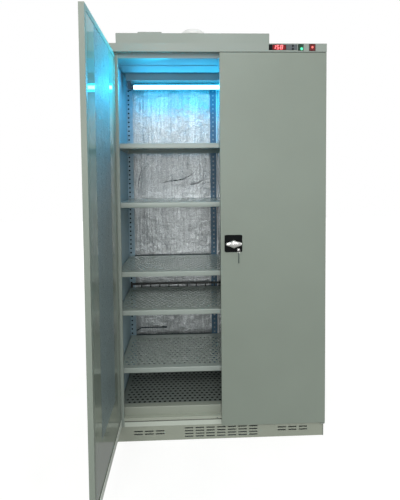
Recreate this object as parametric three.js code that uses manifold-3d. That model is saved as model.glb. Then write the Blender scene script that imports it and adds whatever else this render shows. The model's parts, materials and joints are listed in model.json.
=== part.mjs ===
// Two-door drying cabinet with an ultraviolet lamp, five shelves and an exhaust fan on its roof.
// Millimetres. X points right, Y points from the doors to the back, Z points up.
// The origin is on the floor, at the middle of the cabinet's footprint.
// The left door stands open and the right door is closed.
import * as THREE from 'three';
import { mergeVertices } from 'three/addons/utils/BufferGeometryUtils.js';
import Module from 'manifold-3d';

// ---------- driving dimensions ----------

// carcass
const WIDTH = 1000;
const DEPTH = 500;
const HEIGHT = 1880;
const SHEET = 1.5;
const GAP = 0.3;
const JAMB_WIDTH = 34;
const JAMB_RETURN = 13;
const REAR_FLANGE = 15;
const LINER_STANDOFF = 7;
const LINER_SHEET = 1.2;
const PLINTH_HEIGHT = 74;
const PLINTH_SETBACK = 3;
const FLOOR_HEIGHT = 98;
const THRESHOLD_HEIGHT = 18;
const THRESHOLD_LIP = 21;
const THRESHOLD_FOOT = 21;
const STOP_HOLE_RADIUS = 3;
const STOP_HOLE_X = -20;
const HEADER_HEIGHT = 38;
const TOP_RAIL_DROP = 23;
const TOP_RAIL_LIP = 22;
const ROOF_FLANGE = 12;
const CEILING_DROP = 54;
const BACK_LINER_DEPTH = 50;
const BACK_LINER_TO_BACK = 10;
const FOIL_SHEET = 1;

// air slots in the plinth
const PLINTH_CORNER = 0.5;
const SLOT_LENGTH = 42.5;
const SLOT_HEIGHT = 6;
const SLOT_PITCH_X = 52;
const SLOT_PITCH_Z = 14;
const CENTRE_SLOT_COLUMNS = 7;
const CENTRE_SLOT_ROWS = 4;
const CENTRE_SLOT_Z = 36.5;
const SIDE_SLOT_COLUMNS = 3;
const SIDE_SLOT_ROWS = 2;
const SIDE_SLOT_Z = 40;
const SIDE_SLOT_X = 348;

// doors
const DOOR_THICKNESS = 20;
const DOOR_SHEET = 1.2;
const DOOR_BODY_GAP = 3.5;
const DOOR_EDGE_INSET = 1;
const DOOR_SEAM = 3;
const DOOR_TOP_GAP = 3;
const DOOR_BOTTOM = 81;
const DOOR_LIP = 20;
const HINGE_FROM_EDGE = 8.5;
const HINGE_FROM_INNER_FACE = 12;
const LEFT_DOOR_OPEN = Math.PI / 2;
const FOIL_SIDE_MARGIN = 123.75;
const FOIL_TOP_MARGIN = 22;
const FOIL_BOTTOM_MARGIN = 205;
const PIN_RADIUS = 4;
const PIN_HEAD_RADIUS = 6;
const PIN_HEAD = 2.5;
const PIN_CLEARANCE = 0.5;
const PIN_REACH = 12;
const EAR_THICKNESS = 3;
const EAR_WIDTH = 20;
const EAR_DROP = 3;

// rear uprights and shelves
const UPRIGHT_WIDTH = 33;
const UPRIGHT_DEPTH = 16;
const UPRIGHT_TOP_GAP = 25;
const SHELF_TOPS = [1431, 1151, 819, 632, 350];
const TRAY_TOP = 157;
const SHELF_FLANGE = 24;
const TRAY_FLANGE = 45;
const SHELF_SHEET = 1.2;
const SHELF_SETBACK = 45;
const SHELF_SIDE_GAP = 5;
const SHELF_REAR_GAP = 2;
const HOOK_WIDTH = 15;
const HOOK_REACH = 14;
const HOOK_THICKNESS = 3;
const FRONT_HOOK_INSET = 15;

// the upstand on the rear edge of one shelf, with a row of slots along its foot
const UPSTAND_SHELF = 4;
const UPSTAND_HEIGHT = 27;
const UPSTAND_SLOT_WIDTH = 46;
const UPSTAND_SLOT_HEIGHT = 13;
const UPSTAND_SLOT_RISE = 1.5;
const UPSTAND_RIB = 7;

// lamp under the ceiling
const LAMP_TUBE_RADIUS = 13;
const LAMP_TUBE_TO_SIDE = 53;
const LAMP_TUBE_LENGTH = WIDTH - 2 * LAMP_TUBE_TO_SIDE;
const LAMP_TUBE_WALL = 1.2;
const LAMP_Y = 40;
const LAMP_DROP = 75;
const LAMP_HOUSING_TO_SIDE = 30;
const LAMP_HOUSING_LENGTH = WIDTH - 2 * LAMP_HOUSING_TO_SIDE;
const LAMP_HOUSING_DEPTH = 54;
const LAMP_HOUSING_HEIGHT = 46;
const LAMP_HOUSING_TAPER = 6;
const LAMP_HOLDER_LENGTH = 14;
const LAMP_HOLDER_DEPTH = 34;
const LAMP_HOLDER_LIP = 3;

// sloping baffle under the exhaust opening
const BAFFLE_TO_SIDE = 24;
const BAFFLE_LENGTH = WIDTH - 2 * BAFFLE_TO_SIDE;
const BAFFLE_DEPTH = 76;
const BAFFLE_DROP = 14;

// roof box, its hatch and the exhaust
const ROOF_BOX_TO_LEFT = 16;
const ROOF_BOX_LEFT = ROOF_BOX_TO_LEFT - WIDTH / 2;
const ROOF_BOX_RIGHT = WIDTH / 4;
const ROOF_BOX_DEPTH = 260;
const ROOF_BOX_SETBACK = 80;
const ROOF_BOX_HEIGHT = 75;
const HATCH_INSET = 103;
const HATCH_LEFT = ROOF_BOX_LEFT + HATCH_INSET;
const HATCH_WIDTH = 114;
const HATCH_DEPTH = 70;
const HATCH_HEIGHT = 9;
const HATCH_SETBACK = 10;
const HATCH_CORNER = 2;
const EXHAUST_INSET = 369;
const EXHAUST_X = ROOF_BOX_LEFT + EXHAUST_INSET;
const EXHAUST_Y = -60;
const EXHAUST_RADIUS = 47;
const CAP_RADIUS = 64.5;
const CAP_HEIGHT = 56;
const CAP_NECK = 22;
const CAP_WALL = 3;
const CAP_VENTS = 8;
const CAP_VENT_WIDTH = 16;
const CAP_VENT_HEIGHT = 12;
const MOTOR_RADIUS = 24;
const MOTOR_HEIGHT = 34;
const MOTOR_STRAP_LENGTH = 130;
const MOTOR_STRAP_WIDTH = 14;
const MOTOR_STRAP_THICKNESS = 4;
const IMPELLER_RADIUS = 42;
const IMPELLER_HUB_RADIUS = 15;
const IMPELLER_HEIGHT = 16;
const IMPELLER_BLADES = 5;
const BLADE_THICKNESS = 2.4;
const BLADE_WIDTH = 20;
const BLADE_PITCH = 0.6;
const BLADE_ROOT = 3;
const IMPELLER_GAP = 1;

// heater under the lowest tray
const HEATER_TO_SIDE = 150;
const HEATER_LENGTH = WIDTH - 2 * HEATER_TO_SIDE;
const HEATER_RADIUS = 5;
const HEATER_SPAN = 120;
const HEATER_HEIGHT = 27;
const HEATER_FOOT_WIDTH = 12;
const HEATER_LEFT_FOOT = 70;
const HEATER_RIGHT_FOOT = 105;

// temperature probe on the back wall
const PROBE_HEIGHT = 380;
const PROBE_LENGTH = 155;
const PROBE_RADIUS = 3;
const PROBE_TIP_RADIUS = 5.5;
const PROBE_TIP_LENGTH = 26;

// controls in the header, placed in X and Z from its top right corner
const CONTROL_BOX = { left: -280, right: -45, depth: 20, sheet: 1.2, margin: 3 };
const DISPLAY = { left: -270, width: 80, z: -17.5, height: 25 };
const KEYPAD = { width: 52, radius: 4.2, x: -159, upper: -11.5, lower: -25.5, proud: 1.2, travel: 1 };
const GREEN_ROCKER = { x: -122, width: 22, height: 27, z: -18 };
const RED_ROCKER = { x: -68, width: 26, height: 29, z: -18.5 };
const CONTROL_PROUD = 1.5;
const CONTROL_DEPTH = 10;
const ROCKER_CLEARANCE = 0.9;
const ROCKER_TILT = 0.14;
const ROCKER_CREST = 2.6;
const ROCKER_DEPTH = 7;
const ROCKER_BASE_SHARE = 0.6;

// handle on the right door
const HANDLE_X = 61;
const HANDLE_ABOVE_MIDDLE = 17;
const HANDLE_Z = HEIGHT / 2 + HANDLE_ABOVE_MIDDLE;
const PLATE_WIDTH = 83;
const PLATE_HEIGHT = 81;
const PLATE_THICKNESS = 3;
const PLATE_CORNER = 8;
const SPINDLE_RADIUS = 5;
const HUB_RADIUS = 19;
const HUB_HEIGHT = 12;
const WING_SPAN = 76;
const WING_HEIGHT = 20;
const WING_THICKNESS = 8;
const DOME_HEIGHT = 6;
const DOME_RADIUS = 15;
const KEY_OFFSET_X = 22;
const KEY_OFFSET_Z = -27;
const KEY_BARREL_RADIUS = 6.5;
const KEY_BARREL_PROUD = 4;
const KEY_BARREL_DEPTH = 11;
const KEY_SHANK = { length: 7, width: 2, height: 8 };
const KEY_BOW = { width: 16, height: 20, thickness: 2.5 };
const CAM_THICKNESS = 2;
const CAM_HUB_RADIUS = 12;
const CAM_LENGTH = 75;
const CAM_WIDTH = 12;
const CAM_STANDOFF = 2;
const ROD_WIDTH = 12;
const ROD_THICKNESS = 3;
const ROD_TRAVEL = 15;
const ROD_STANDOFF = 8.5;
const ROD_END_GAP = 6;
const ROD_CLEARANCE = 0.5;
const ROD_GUIDE_WIDTH = 20;
const ROD_GUIDE_THICKNESS = 4;
const ROD_GUIDE_WALL = 2;
const ROD_GUIDES_FROM_FLOOR = [160, 500];
const ROD_GUIDES_FROM_HANDLE = [-97, 93];
const ROD_GUIDES_FROM_TOP = [-480, -100];
const ROD_CUTOUT_WIDTH = 80;

// cable gland, low on the back
const GLAND_TO_SIDE = 120;
const GLAND_X = WIDTH / 2 - GLAND_TO_SIDE;
const GLAND_Z = 150;
const GLAND_RADIUS = 10;
const GLAND_NUT_RADIUS = 14;
const GLAND_NUT = 6;
const GLAND_DOME = 14;
const GLAND_BORE = 4;
const GLAND_TAIL = 4;

// ---------- places worked out from them ----------

const FRONT = -DEPTH / 2;
const BACK = DEPTH / 2;
const SIDE = WIDTH / 2;
const BODY_FRONT = FRONT + DOOR_THICKNESS + DOOR_BODY_GAP;
const INSIDE = SIDE - SHEET;
const JAMB_EDGE = SIDE - JAMB_WIDTH;
const RAIL_HALF = JAMB_EDGE - GAP;
const ROOF_UNDER = HEIGHT - SHEET;
const HEADER_BOTTOM = HEIGHT - HEADER_HEIGHT;
const RAIL_BOTTOM = HEADER_BOTTOM - TOP_RAIL_DROP;
const CEILING_UNDER = HEIGHT - CEILING_DROP;
const BACK_SHEET_OUTER = BACK - SHEET - GAP;
const BACK_SHEET_INNER = BACK_SHEET_OUTER - SHEET;
const FOIL_FACE = BACK - BACK_LINER_TO_BACK - BACK_LINER_DEPTH;
const LINER_INNER = SIDE - LINER_STANDOFF;
const UPRIGHT_FRONT = FOIL_FACE - UPRIGHT_DEPTH;
const SHELF_FRONT = FRONT + SHELF_SETBACK;
const SHELF_BACK = UPRIGHT_FRONT - SHELF_REAR_GAP;
const SHELF_HALF = LINER_INNER - SHELF_SIDE_GAP;
const DOOR_TOP = HEADER_BOTTOM - DOOR_TOP_GAP;
const DOOR_WIDTH = SIDE - DOOR_EDGE_INSET - DOOR_SEAM / 2;
const HINGE_X = SIDE - DOOR_EDGE_INSET - HINGE_FROM_EDGE;
const HINGE_Y = FRONT + DOOR_THICKNESS - HINGE_FROM_INNER_FACE;
const EAR_TOP = DOOR_BOTTOM - EAR_DROP;
const ROOF_BOX_FRONT = FRONT + ROOF_BOX_SETBACK;
const ROOF_BOX_TOP = HEIGHT + GAP + ROOF_BOX_HEIGHT;
const ROD_FRONT = FRONT + DOOR_THICKNESS + ROD_STANDOFF;
const HANDLE_BASE = FRONT - GAP - PLATE_THICKNESS;
const DISPLAY_LEFT = SIDE + DISPLAY.left;
const DISPLAY_Z = HEIGHT + DISPLAY.z;
const BUTTON_X = SIDE + KEYPAD.x;
const BUTTON_UP_Z = HEIGHT + KEYPAD.upper;
const BUTTON_DOWN_Z = HEIGHT + KEYPAD.lower;
const ROD_GUIDE_HEIGHTS = [
  ...ROD_GUIDES_FROM_FLOOR,
  ...ROD_GUIDES_FROM_HANDLE.map((offset) => HANDLE_Z + offset),
  ...ROD_GUIDES_FROM_TOP.map((offset) => HEIGHT + offset),
];
const HANG_LEVELS = [...SHELF_TOPS.map((top) => top - SHELF_FLANGE), TRAY_TOP - TRAY_FLANGE];

// ---------- materials ----------

function material(color, roughness, metalness) {
  return new THREE.MeshStandardMaterial({ color, roughness, metalness });
}

const paint = material(0x8d968b, 0.42, 0.1);
const paintLight = material(0x9ea6a1, 0.42, 0.1);
const paintDark = material(0x8b8e80, 0.5, 0.1);
const foil = material(0xb9bcc2, 0.3, 0.9);
const zinc = material(0x8f9aa0, 0.4, 0.7);
const steel = material(0xc8cacb, 0.25, 0.95);
const whitePlastic = material(0xe9e9e6, 0.45, 0);
const blackPlastic = material(0x17191b, 0.4, 0);
const greyPlastic = material(0x55595c, 0.5, 0);
const tubeGlass = material(0xd8f6ff, 0.15, 0);
const displayRed = material(0x3a0a0c, 0.15, 0);
const lensGreen = material(0x1fae4a, 0.3, 0);
const lensRed = material(0xc31f1b, 0.3, 0);
const heaterSteel = material(0x6d645c, 0.45, 0.8);
const darkRubber = material(0x1f2b2d, 0.6, 0);

// ---------- solid helpers ----------
// Tools that cut run 1 mm past the faces that they cut through.

const wasm = await Module();
wasm.setup();

function toSolid(geometry) {
  const plain = geometry.index ? geometry.toNonIndexed() : geometry.clone();
  plain.deleteAttribute('normal');
  plain.deleteAttribute('uv');
  const merged = mergeVertices(plain, 1e-4);
  return new wasm.Manifold(new wasm.Mesh({
    numProp: 3,
    vertProperties: new Float32Array(merged.attributes.position.array),
    triVerts: new Uint32Array(merged.index.array),
  }));
}

function toGeometry(solid) {
  const { vertProperties, triVerts } = solid.getMesh();
  const geometry = new THREE.BufferGeometry();
  geometry.setAttribute('position', new THREE.BufferAttribute(new Float32Array(vertProperties), 3));
  geometry.setIndex(new THREE.BufferAttribute(new Uint32Array(triVerts), 1));
  geometry.computeVertexNormals();
  return geometry;
}

// A block between two X, two Y and two Z values, given in any order.
function block(xs, ys, zs) {
  const size = [xs, ys, zs].map(([a, b]) => Math.abs(b - a));
  const middle = [xs, ys, zs].map(([a, b]) => (a + b) / 2);
  return toSolid(new THREE.BoxGeometry(...size).translate(...middle));
}

// A round bar from one end point to the other, along one axis.
function bar(radius, from, to, segments = 20) {
  const a = new THREE.Vector3(...from);
  const b = new THREE.Vector3(...to);
  const along = b.clone().sub(a);
  const geometry = new THREE.CylinderGeometry(radius, radius, along.length(), segments);
  const turn = new THREE.Quaternion().setFromUnitVectors(new THREE.Vector3(0, 1, 0), along.normalize());
  const centre = a.add(b).multiplyScalar(0.5);
  return toSolid(geometry.applyQuaternion(turn).translate(centre.x, centre.y, centre.z));
}

// The round way for the air that the exhaust draws, through a sheet from z0 to z1.
function exhaustOpening(z0, z1) {
  return bar(EXHAUST_RADIUS, [EXHAUST_X, EXHAUST_Y, z0 - 1], [EXHAUST_X, EXHAUST_Y, z1 + 1], 28);
}

// A flat outline drawn in X and Z, given thickness from y0 to y1.
function plateXZ(shape, y0, y1, curveSegments = 4) {
  const geometry = new THREE.ExtrudeGeometry(shape, { depth: y1 - y0, bevelEnabled: false, curveSegments });
  return toSolid(geometry.rotateX(Math.PI / 2).translate(0, y1, 0));
}

// An outline in Y and Z, given its length along X about the middle.
function beam(points, length) {
  const shape = new THREE.Shape(points.map(([y, z]) => new THREE.Vector2(y, z)));
  const geometry = new THREE.ExtrudeGeometry(shape, { depth: length, bevelEnabled: false });
  return toSolid(geometry.rotateY(Math.PI / 2).rotateX(Math.PI / 2).translate(-length / 2, 0, 0));
}

// An outline in X and Y, raised from z0 to z1.
function column(points, z0, z1) {
  const shape = new THREE.Shape(points.map(([x, y]) => new THREE.Vector2(x, y)));
  const geometry = new THREE.ExtrudeGeometry(shape, { depth: z1 - z0, bevelEnabled: false });
  return toSolid(geometry.translate(0, 0, z0));
}

function join(...solids) {
  return solids.reduce((whole, solid) => whole.add(solid));
}

function cut(solid, ...tools) {
  return tools.reduce((rest, tool) => rest.subtract(tool), solid);
}

function shrink([low, high], by) {
  return [low + by, high - by];
}

function mirrored(points, side) {
  const turned = points.map(([x, y]) => [side * x, y]);
  return side < 0 ? turned.reverse() : turned;
}

function roundedRect(width, height, radius, x = 0, z = 0) {
  const [l, r, b, t] = [x - width / 2, x + width / 2, z - height / 2, z + height / 2];
  const shape = new THREE.Shape();
  shape.moveTo(l + radius, b);
  shape.lineTo(r - radius, b);
  shape.absarc(r - radius, b + radius, radius, -Math.PI / 2, 0);
  shape.lineTo(r, t - radius);
  shape.absarc(r - radius, t - radius, radius, 0, Math.PI / 2);
  shape.lineTo(l + radius, t);
  shape.absarc(l + radius, t - radius, radius, Math.PI / 2, Math.PI);
  shape.lineTo(l, b + radius);
  shape.absarc(l + radius, b + radius, radius, Math.PI, 1.5 * Math.PI);
  return shape;
}

const cabinet = new THREE.Group();

function place(name, solid, look, parent = cabinet) {
  const mesh = new THREE.Mesh(toGeometry(solid), look);
  mesh.name = name;
  parent.add(mesh);
  return mesh;
}

// ---------- carcass ----------

function sidePanel(side) {
  const lipInner = JAMB_EDGE + SHEET;
  const profile = mirrored([
    [SIDE, BODY_FRONT],
    [SIDE, BACK],
    [SIDE - REAR_FLANGE, BACK],
    [SIDE - REAR_FLANGE, BACK - SHEET],
    [INSIDE, BACK - SHEET],
    [INSIDE, BODY_FRONT + SHEET],
    [lipInner, BODY_FRONT + SHEET],
    [lipInner, BODY_FRONT + JAMB_RETURN],
    [JAMB_EDGE, BODY_FRONT + JAMB_RETURN],
    [JAMB_EDGE, BODY_FRONT],
  ], side);
  const plinthNotch = block(
    [side * (JAMB_EDGE - 1), side * INSIDE],
    [BODY_FRONT - 1, BODY_FRONT + JAMB_RETURN + 1],
    [-1, PLINTH_HEIGHT],
  );
  const sheet = cut(column(profile, 0, ROOF_UNDER - GAP), plinthNotch);
  const earOuter = SIDE - DOOR_EDGE_INSET;
  const ear = block(
    [side * earOuter, side * (earOuter - EAR_WIDTH)],
    [FRONT + DOOR_EDGE_INSET, BODY_FRONT + SHEET],
    [EAR_TOP - EAR_THICKNESS, EAR_TOP],
  );
  const hole = bar(
    PIN_RADIUS + GAP,
    [side * HINGE_X, HINGE_Y, EAR_TOP - EAR_THICKNESS - 1],
    [side * HINGE_X, HINGE_Y, EAR_TOP + 1],
  );
  return cut(join(sheet, ear), hole);
}

function backPanel() {
  const half = INSIDE - GAP;
  const sheet = block([-half, half], [BACK_SHEET_INNER, BACK_SHEET_OUTER], [0, ROOF_UNDER - GAP]);
  const hole = bar(
    GLAND_RADIUS + GAP,
    [GLAND_X, BACK_SHEET_INNER - 1, GLAND_Z],
    [GLAND_X, BACK_SHEET_OUTER + 1, GLAND_Z],
  );
  return cut(sheet, hole);
}

function roofPanel() {
  const top = block([-SIDE, SIDE], [BODY_FRONT, BACK], [ROOF_UNDER, HEIGHT]);
  const half = INSIDE - GAP;
  const rear = BACK_SHEET_INNER - GAP;
  const skirtZ = [ROOF_UNDER - ROOF_FLANGE, ROOF_UNDER + SHEET / 2];
  const left = block([-half, -half + SHEET], [BODY_FRONT + JAMB_RETURN + GAP, rear], skirtZ);
  const right = block([half, half - SHEET], [BODY_FRONT + JAMB_RETURN + GAP, rear], skirtZ);
  const behind = block([-half, half], [rear - SHEET, rear], skirtZ);
  return cut(join(top, left, right, behind), exhaustOpening(ROOF_UNDER, HEIGHT));
}

function controlWindow(x, z, { width, height }, clearance) {
  return block(
    [x - width / 2 - clearance, x + width / 2 + clearance],
    [FRONT - 1, FRONT + SHEET + 1],
    [z - height / 2 - clearance, z + height / 2 + clearance],
  );
}

function headerFascia() {
  const rear = BODY_FRONT - GAP;
  const shell = cut(
    block([-SIDE, SIDE], [FRONT, rear], [HEADER_BOTTOM, HEIGHT]),
    block([-INSIDE, INSIDE], [FRONT + SHEET, rear + 1], [HEADER_BOTTOM + SHEET, ROOF_UNDER]),
  );
  const controller = { width: DISPLAY.width + KEYPAD.width, height: DISPLAY.height };
  const controllerX = DISPLAY_LEFT + controller.width / 2;
  const pinHoles = [-1, 1].map((side) => bar(
    PIN_RADIUS + GAP,
    [side * HINGE_X, HINGE_Y, HEADER_BOTTOM - 1],
    [side * HINGE_X, HINGE_Y, HEADER_BOTTOM + SHEET + 1],
  ));
  return cut(
    shell,
    controlWindow(controllerX, DISPLAY_Z, controller, GAP),
    ...[GREEN_ROCKER, RED_ROCKER].map((item) => (
      controlWindow(SIDE + item.x, HEIGHT + item.z, item, ROCKER_CLEARANCE))),
    ...pinHoles,
  );
}

// The cut-out in a lip that lets a lock rod slide in behind the face, at the handle's X.
function rodCutout(lip, z0, z1) {
  const half = ROD_CUTOUT_WIDTH / 2;
  return block([HANDLE_X - half, HANDLE_X + half], [BODY_FRONT + SHEET, BODY_FRONT + lip + 1], [z0, z1]);
}

function topRail() {
  const xs = [-RAIL_HALF, RAIL_HALF];
  const face = block(xs, [BODY_FRONT, BODY_FRONT + SHEET], [RAIL_BOTTOM, ROOF_UNDER - GAP]);
  const lip = block(xs, [BODY_FRONT, BODY_FRONT + TOP_RAIL_LIP], [RAIL_BOTTOM, RAIL_BOTTOM + SHEET]);
  return cut(join(face, lip), rodCutout(TOP_RAIL_LIP, RAIL_BOTTOM - 1, RAIL_BOTTOM + SHEET + 1));
}

function bottomPanel() {
  const rear = BACK_SHEET_INNER - GAP;
  const floorZ = [FLOOR_HEIGHT - SHEET, FLOOR_HEIGHT];
  const xs = [-RAIL_HALF, RAIL_HALF];
  const wide = block([-INSIDE + GAP, INSIDE - GAP], [BODY_FRONT + JAMB_RETURN + GAP, rear], floorZ);
  const tongue = block(xs, [BODY_FRONT, BODY_FRONT + JAMB_RETURN + 1], floorZ);
  const apron = block(xs, [BODY_FRONT, BODY_FRONT + SHEET], [PLINTH_HEIGHT, FLOOR_HEIGHT]);
  return join(wide, tongue, apron);
}

function threshold() {
  const bottom = FLOOR_HEIGHT + GAP;
  const top = bottom + THRESHOLD_HEIGHT;
  const xs = [-RAIL_HALF, RAIL_HALF];
  const face = block(xs, [BODY_FRONT, BODY_FRONT + SHEET], [bottom, top]);
  const lip = block(xs, [BODY_FRONT, BODY_FRONT + THRESHOLD_LIP], [top - SHEET, top]);
  const foot = block(xs, [BODY_FRONT, BODY_FRONT + THRESHOLD_FOOT], [bottom, bottom + SHEET]);
  const middle = (bottom + top) / 2;
  const stopHole = bar(
    STOP_HOLE_RADIUS,
    [STOP_HOLE_X, BODY_FRONT - 1, middle],
    [STOP_HOLE_X, BODY_FRONT + SHEET + 1, middle],
    10,
  );
  return cut(join(face, lip, foot), stopHole, rodCutout(THRESHOLD_LIP, bottom - 1, top + 1));
}

function slotHole(x, z) {
  const half = SLOT_LENGTH / 2 - SLOT_HEIGHT / 2;
  const hole = new THREE.Path();
  hole.absarc(x + half, z, SLOT_HEIGHT / 2, -Math.PI / 2, Math.PI / 2);
  hole.absarc(x - half, z, SLOT_HEIGHT / 2, Math.PI / 2, 1.5 * Math.PI);
  return hole;
}

function slotGrid(centreX, centreZ, columns, rows) {
  const holes = [];
  for (let column = 0; column < columns; column += 1) {
    for (let row = 0; row < rows; row += 1) {
      const x = centreX + (column - (columns - 1) / 2) * SLOT_PITCH_X;
      const z = centreZ + (row - (rows - 1) / 2) * SLOT_PITCH_Z;
      holes.push(slotHole(x, z));
    }
  }
  return holes;
}

function plinthFront() {
  const height = PLINTH_HEIGHT - GAP;
  const shape = roundedRect(2 * (INSIDE - GAP), height, PLINTH_CORNER, 0, height / 2);
  shape.holes.push(
    ...slotGrid(0, CENTRE_SLOT_Z, CENTRE_SLOT_COLUMNS, CENTRE_SLOT_ROWS),
    ...slotGrid(-SIDE_SLOT_X, SIDE_SLOT_Z, SIDE_SLOT_COLUMNS, SIDE_SLOT_ROWS),
    ...slotGrid(SIDE_SLOT_X, SIDE_SLOT_Z, SIDE_SLOT_COLUMNS, SIDE_SLOT_ROWS),
  );
  const face = BODY_FRONT + PLINTH_SETBACK;
  return plateXZ(shape, face, face + SHEET, 3);
}

function basePan() {
  const front = BODY_FRONT + PLINTH_SETBACK + SHEET + GAP;
  return block([-INSIDE + GAP, INSIDE - GAP], [front, BACK_SHEET_INNER - GAP], [0, SHEET]);
}

// ---------- inner linings ----------

// A foil-faced pan that is open towards the back panel.
function backLiner() {
  const half = LINER_INNER - GAP;
  const zs = [FLOOR_HEIGHT + GAP, CEILING_UNDER - GAP];
  const rear = FOIL_FACE + BACK_LINER_DEPTH;
  const inner = half - FOIL_SHEET;
  return cut(
    block([-half, half], [FOIL_FACE, rear], zs),
    block([-inner, inner], [FOIL_FACE + FOIL_SHEET, rear + 1], [zs[0] + FOIL_SHEET, zs[1] - FOIL_SHEET]),
  );
}

function sideLiner(side) {
  const front = BODY_FRONT + JAMB_RETURN + GAP;
  const sheet = block(
    [side * LINER_INNER, side * (LINER_INNER + LINER_SHEET)],
    [front, FOIL_FACE - GAP],
    [FLOOR_HEIGHT + GAP, CEILING_UNDER - GAP],
  );
  const hooks = HANG_LEVELS.map((level) => block(
    [side * (LINER_INNER + LINER_SHEET / 2), side * (SHELF_HALF - HOOK_WIDTH / 2)],
    [SHELF_FRONT + FRONT_HOOK_INSET, SHELF_FRONT + FRONT_HOOK_INSET + HOOK_WIDTH],
    [level - GAP - HOOK_THICKNESS, level - GAP],
  ));
  return join(sheet, ...hooks);
}

function ceilingPanel() {
  const half = LINER_INNER + LINER_SHEET;
  const front = BODY_FRONT + TOP_RAIL_LIP + GAP;
  const rear = FOIL_FACE + BACK_LINER_DEPTH;
  const top = CEILING_UNDER + SHEET;
  return cut(block([-half, half], [front, rear], [CEILING_UNDER, top]), exhaustOpening(CEILING_UNDER, top));
}

// The baffle starts at the ceiling and slopes down towards the lamp, between two end plates.
function ceilingBaffle() {
  const [y0, y1] = [EXHAUST_Y - BAFFLE_DEPTH / 2, EXHAUST_Y + BAFFLE_DEPTH / 2];
  const high = CEILING_UNDER - GAP;
  const low = CEILING_UNDER - BAFFLE_DROP;
  const slope = [[y0, high - SHEET], [y1, low]];
  const sheet = beam([...slope, [y1, low + SHEET], [y0, high]], BAFFLE_LENGTH);
  const plates = [-1, 1].map((side) => (
    beam([...slope, [y1, high]], SHEET).translate([side * (BAFFLE_LENGTH - SHEET) / 2, 0, 0])));
  return join(sheet, ...plates);
}

// ---------- uprights and shelves ----------

function upright(centreX) {
  const half = UPRIGHT_WIDTH / 2;
  const [y0, y1] = [UPRIGHT_FRONT, FOIL_FACE - GAP];
  const channel = column([
    [centreX - half, y0],
    [centreX + half, y0],
    [centreX + half, y1],
    [centreX + half - SHEET, y1],
    [centreX + half - SHEET, y0 + SHEET],
    [centreX - half + SHEET, y0 + SHEET],
    [centreX - half + SHEET, y1],
    [centreX - half, y1],
  ], FLOOR_HEIGHT + GAP, CEILING_UNDER - UPRIGHT_TOP_GAP);
  const hooks = HANG_LEVELS.map((level) => block(
    [centreX - HOOK_WIDTH / 2, centreX + HOOK_WIDTH / 2],
    [UPRIGHT_FRONT - HOOK_REACH, UPRIGHT_FRONT + SHEET / 2],
    [level - GAP - HOOK_THICKNESS, level - GAP],
  ));
  return join(channel, ...hooks);
}

// A folded deck, open below, with a flange on all four sides.
function foldedDeck(top, flange) {
  const inner = SHELF_HALF - SHELF_SHEET;
  return cut(
    block([-SHELF_HALF, SHELF_HALF], [SHELF_FRONT, SHELF_BACK], [top - flange, top]),
    block(
      [-inner, inner],
      [SHELF_FRONT + SHELF_SHEET, SHELF_BACK - SHELF_SHEET],
      [top - flange - 1, top - SHELF_SHEET],
    ),
  );
}

function rearUpstand(top) {
  const inner = SHELF_HALF - SHELF_SHEET;
  const pitch = UPSTAND_SLOT_WIDTH + UPSTAND_RIB;
  const count = Math.floor((2 * inner - UPSTAND_RIB) / pitch);
  const sheetY = [SHELF_BACK - SHELF_SHEET, SHELF_BACK];
  const sheet = block([-inner, inner], sheetY, [top - SHELF_SHEET / 2, top + UPSTAND_HEIGHT]);
  const slots = Array.from({ length: count }, (_, i) => {
    const x = (i - (count - 1) / 2) * pitch;
    return block(
      [x - UPSTAND_SLOT_WIDTH / 2, x + UPSTAND_SLOT_WIDTH / 2],
      [sheetY[0] - 1, sheetY[1] + 1],
      [top + UPSTAND_SLOT_RISE, top + UPSTAND_SLOT_RISE + UPSTAND_SLOT_HEIGHT],
    );
  });
  return cut(sheet, ...slots);
}

function shelf(number, top) {
  const deck = foldedDeck(top, SHELF_FLANGE);
  return number === UPSTAND_SHELF ? join(deck, rearUpstand(top)) : deck;
}

// ---------- lamp ----------

// The trapezoid trough that the lamp hangs from, inset by the sheet for its hollow.
function lampTrough(inset, bottom, top) {
  const half = LAMP_HOUSING_DEPTH / 2 - inset;
  return beam([
    [LAMP_Y - half, bottom],
    [LAMP_Y + half, bottom],
    [LAMP_Y + half - LAMP_HOUSING_TAPER, top],
    [LAMP_Y - half + LAMP_HOUSING_TAPER, top],
  ], LAMP_HOUSING_LENGTH - 2 * inset);
}

function lampHousing() {
  const top = CEILING_UNDER - GAP;
  const bottom = top - LAMP_HOUSING_HEIGHT;
  return cut(lampTrough(0, bottom, top), lampTrough(SHEET, bottom + SHEET, top + 1));
}

function lampTube() {
  const z = CEILING_UNDER - LAMP_DROP;
  const half = LAMP_TUBE_LENGTH / 2;
  return cut(
    bar(LAMP_TUBE_RADIUS, [-half, LAMP_Y, z], [half, LAMP_Y, z]),
    bar(LAMP_TUBE_RADIUS - LAMP_TUBE_WALL, [-half - 1, LAMP_Y, z], [half + 1, LAMP_Y, z]),
  );
}

function lampHolder(side) {
  const near = LAMP_TUBE_LENGTH / 2 + GAP;
  const z = CEILING_UNDER - LAMP_DROP;
  return block(
    [side * near, side * (near + LAMP_HOLDER_LENGTH)],
    [LAMP_Y - LAMP_HOLDER_DEPTH / 2, LAMP_Y + LAMP_HOLDER_DEPTH / 2],
    [z - LAMP_TUBE_RADIUS - LAMP_HOLDER_LIP, CEILING_UNDER - LAMP_HOUSING_HEIGHT - 2 * GAP],
  );
}

// ---------- heater and probe ----------

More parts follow.
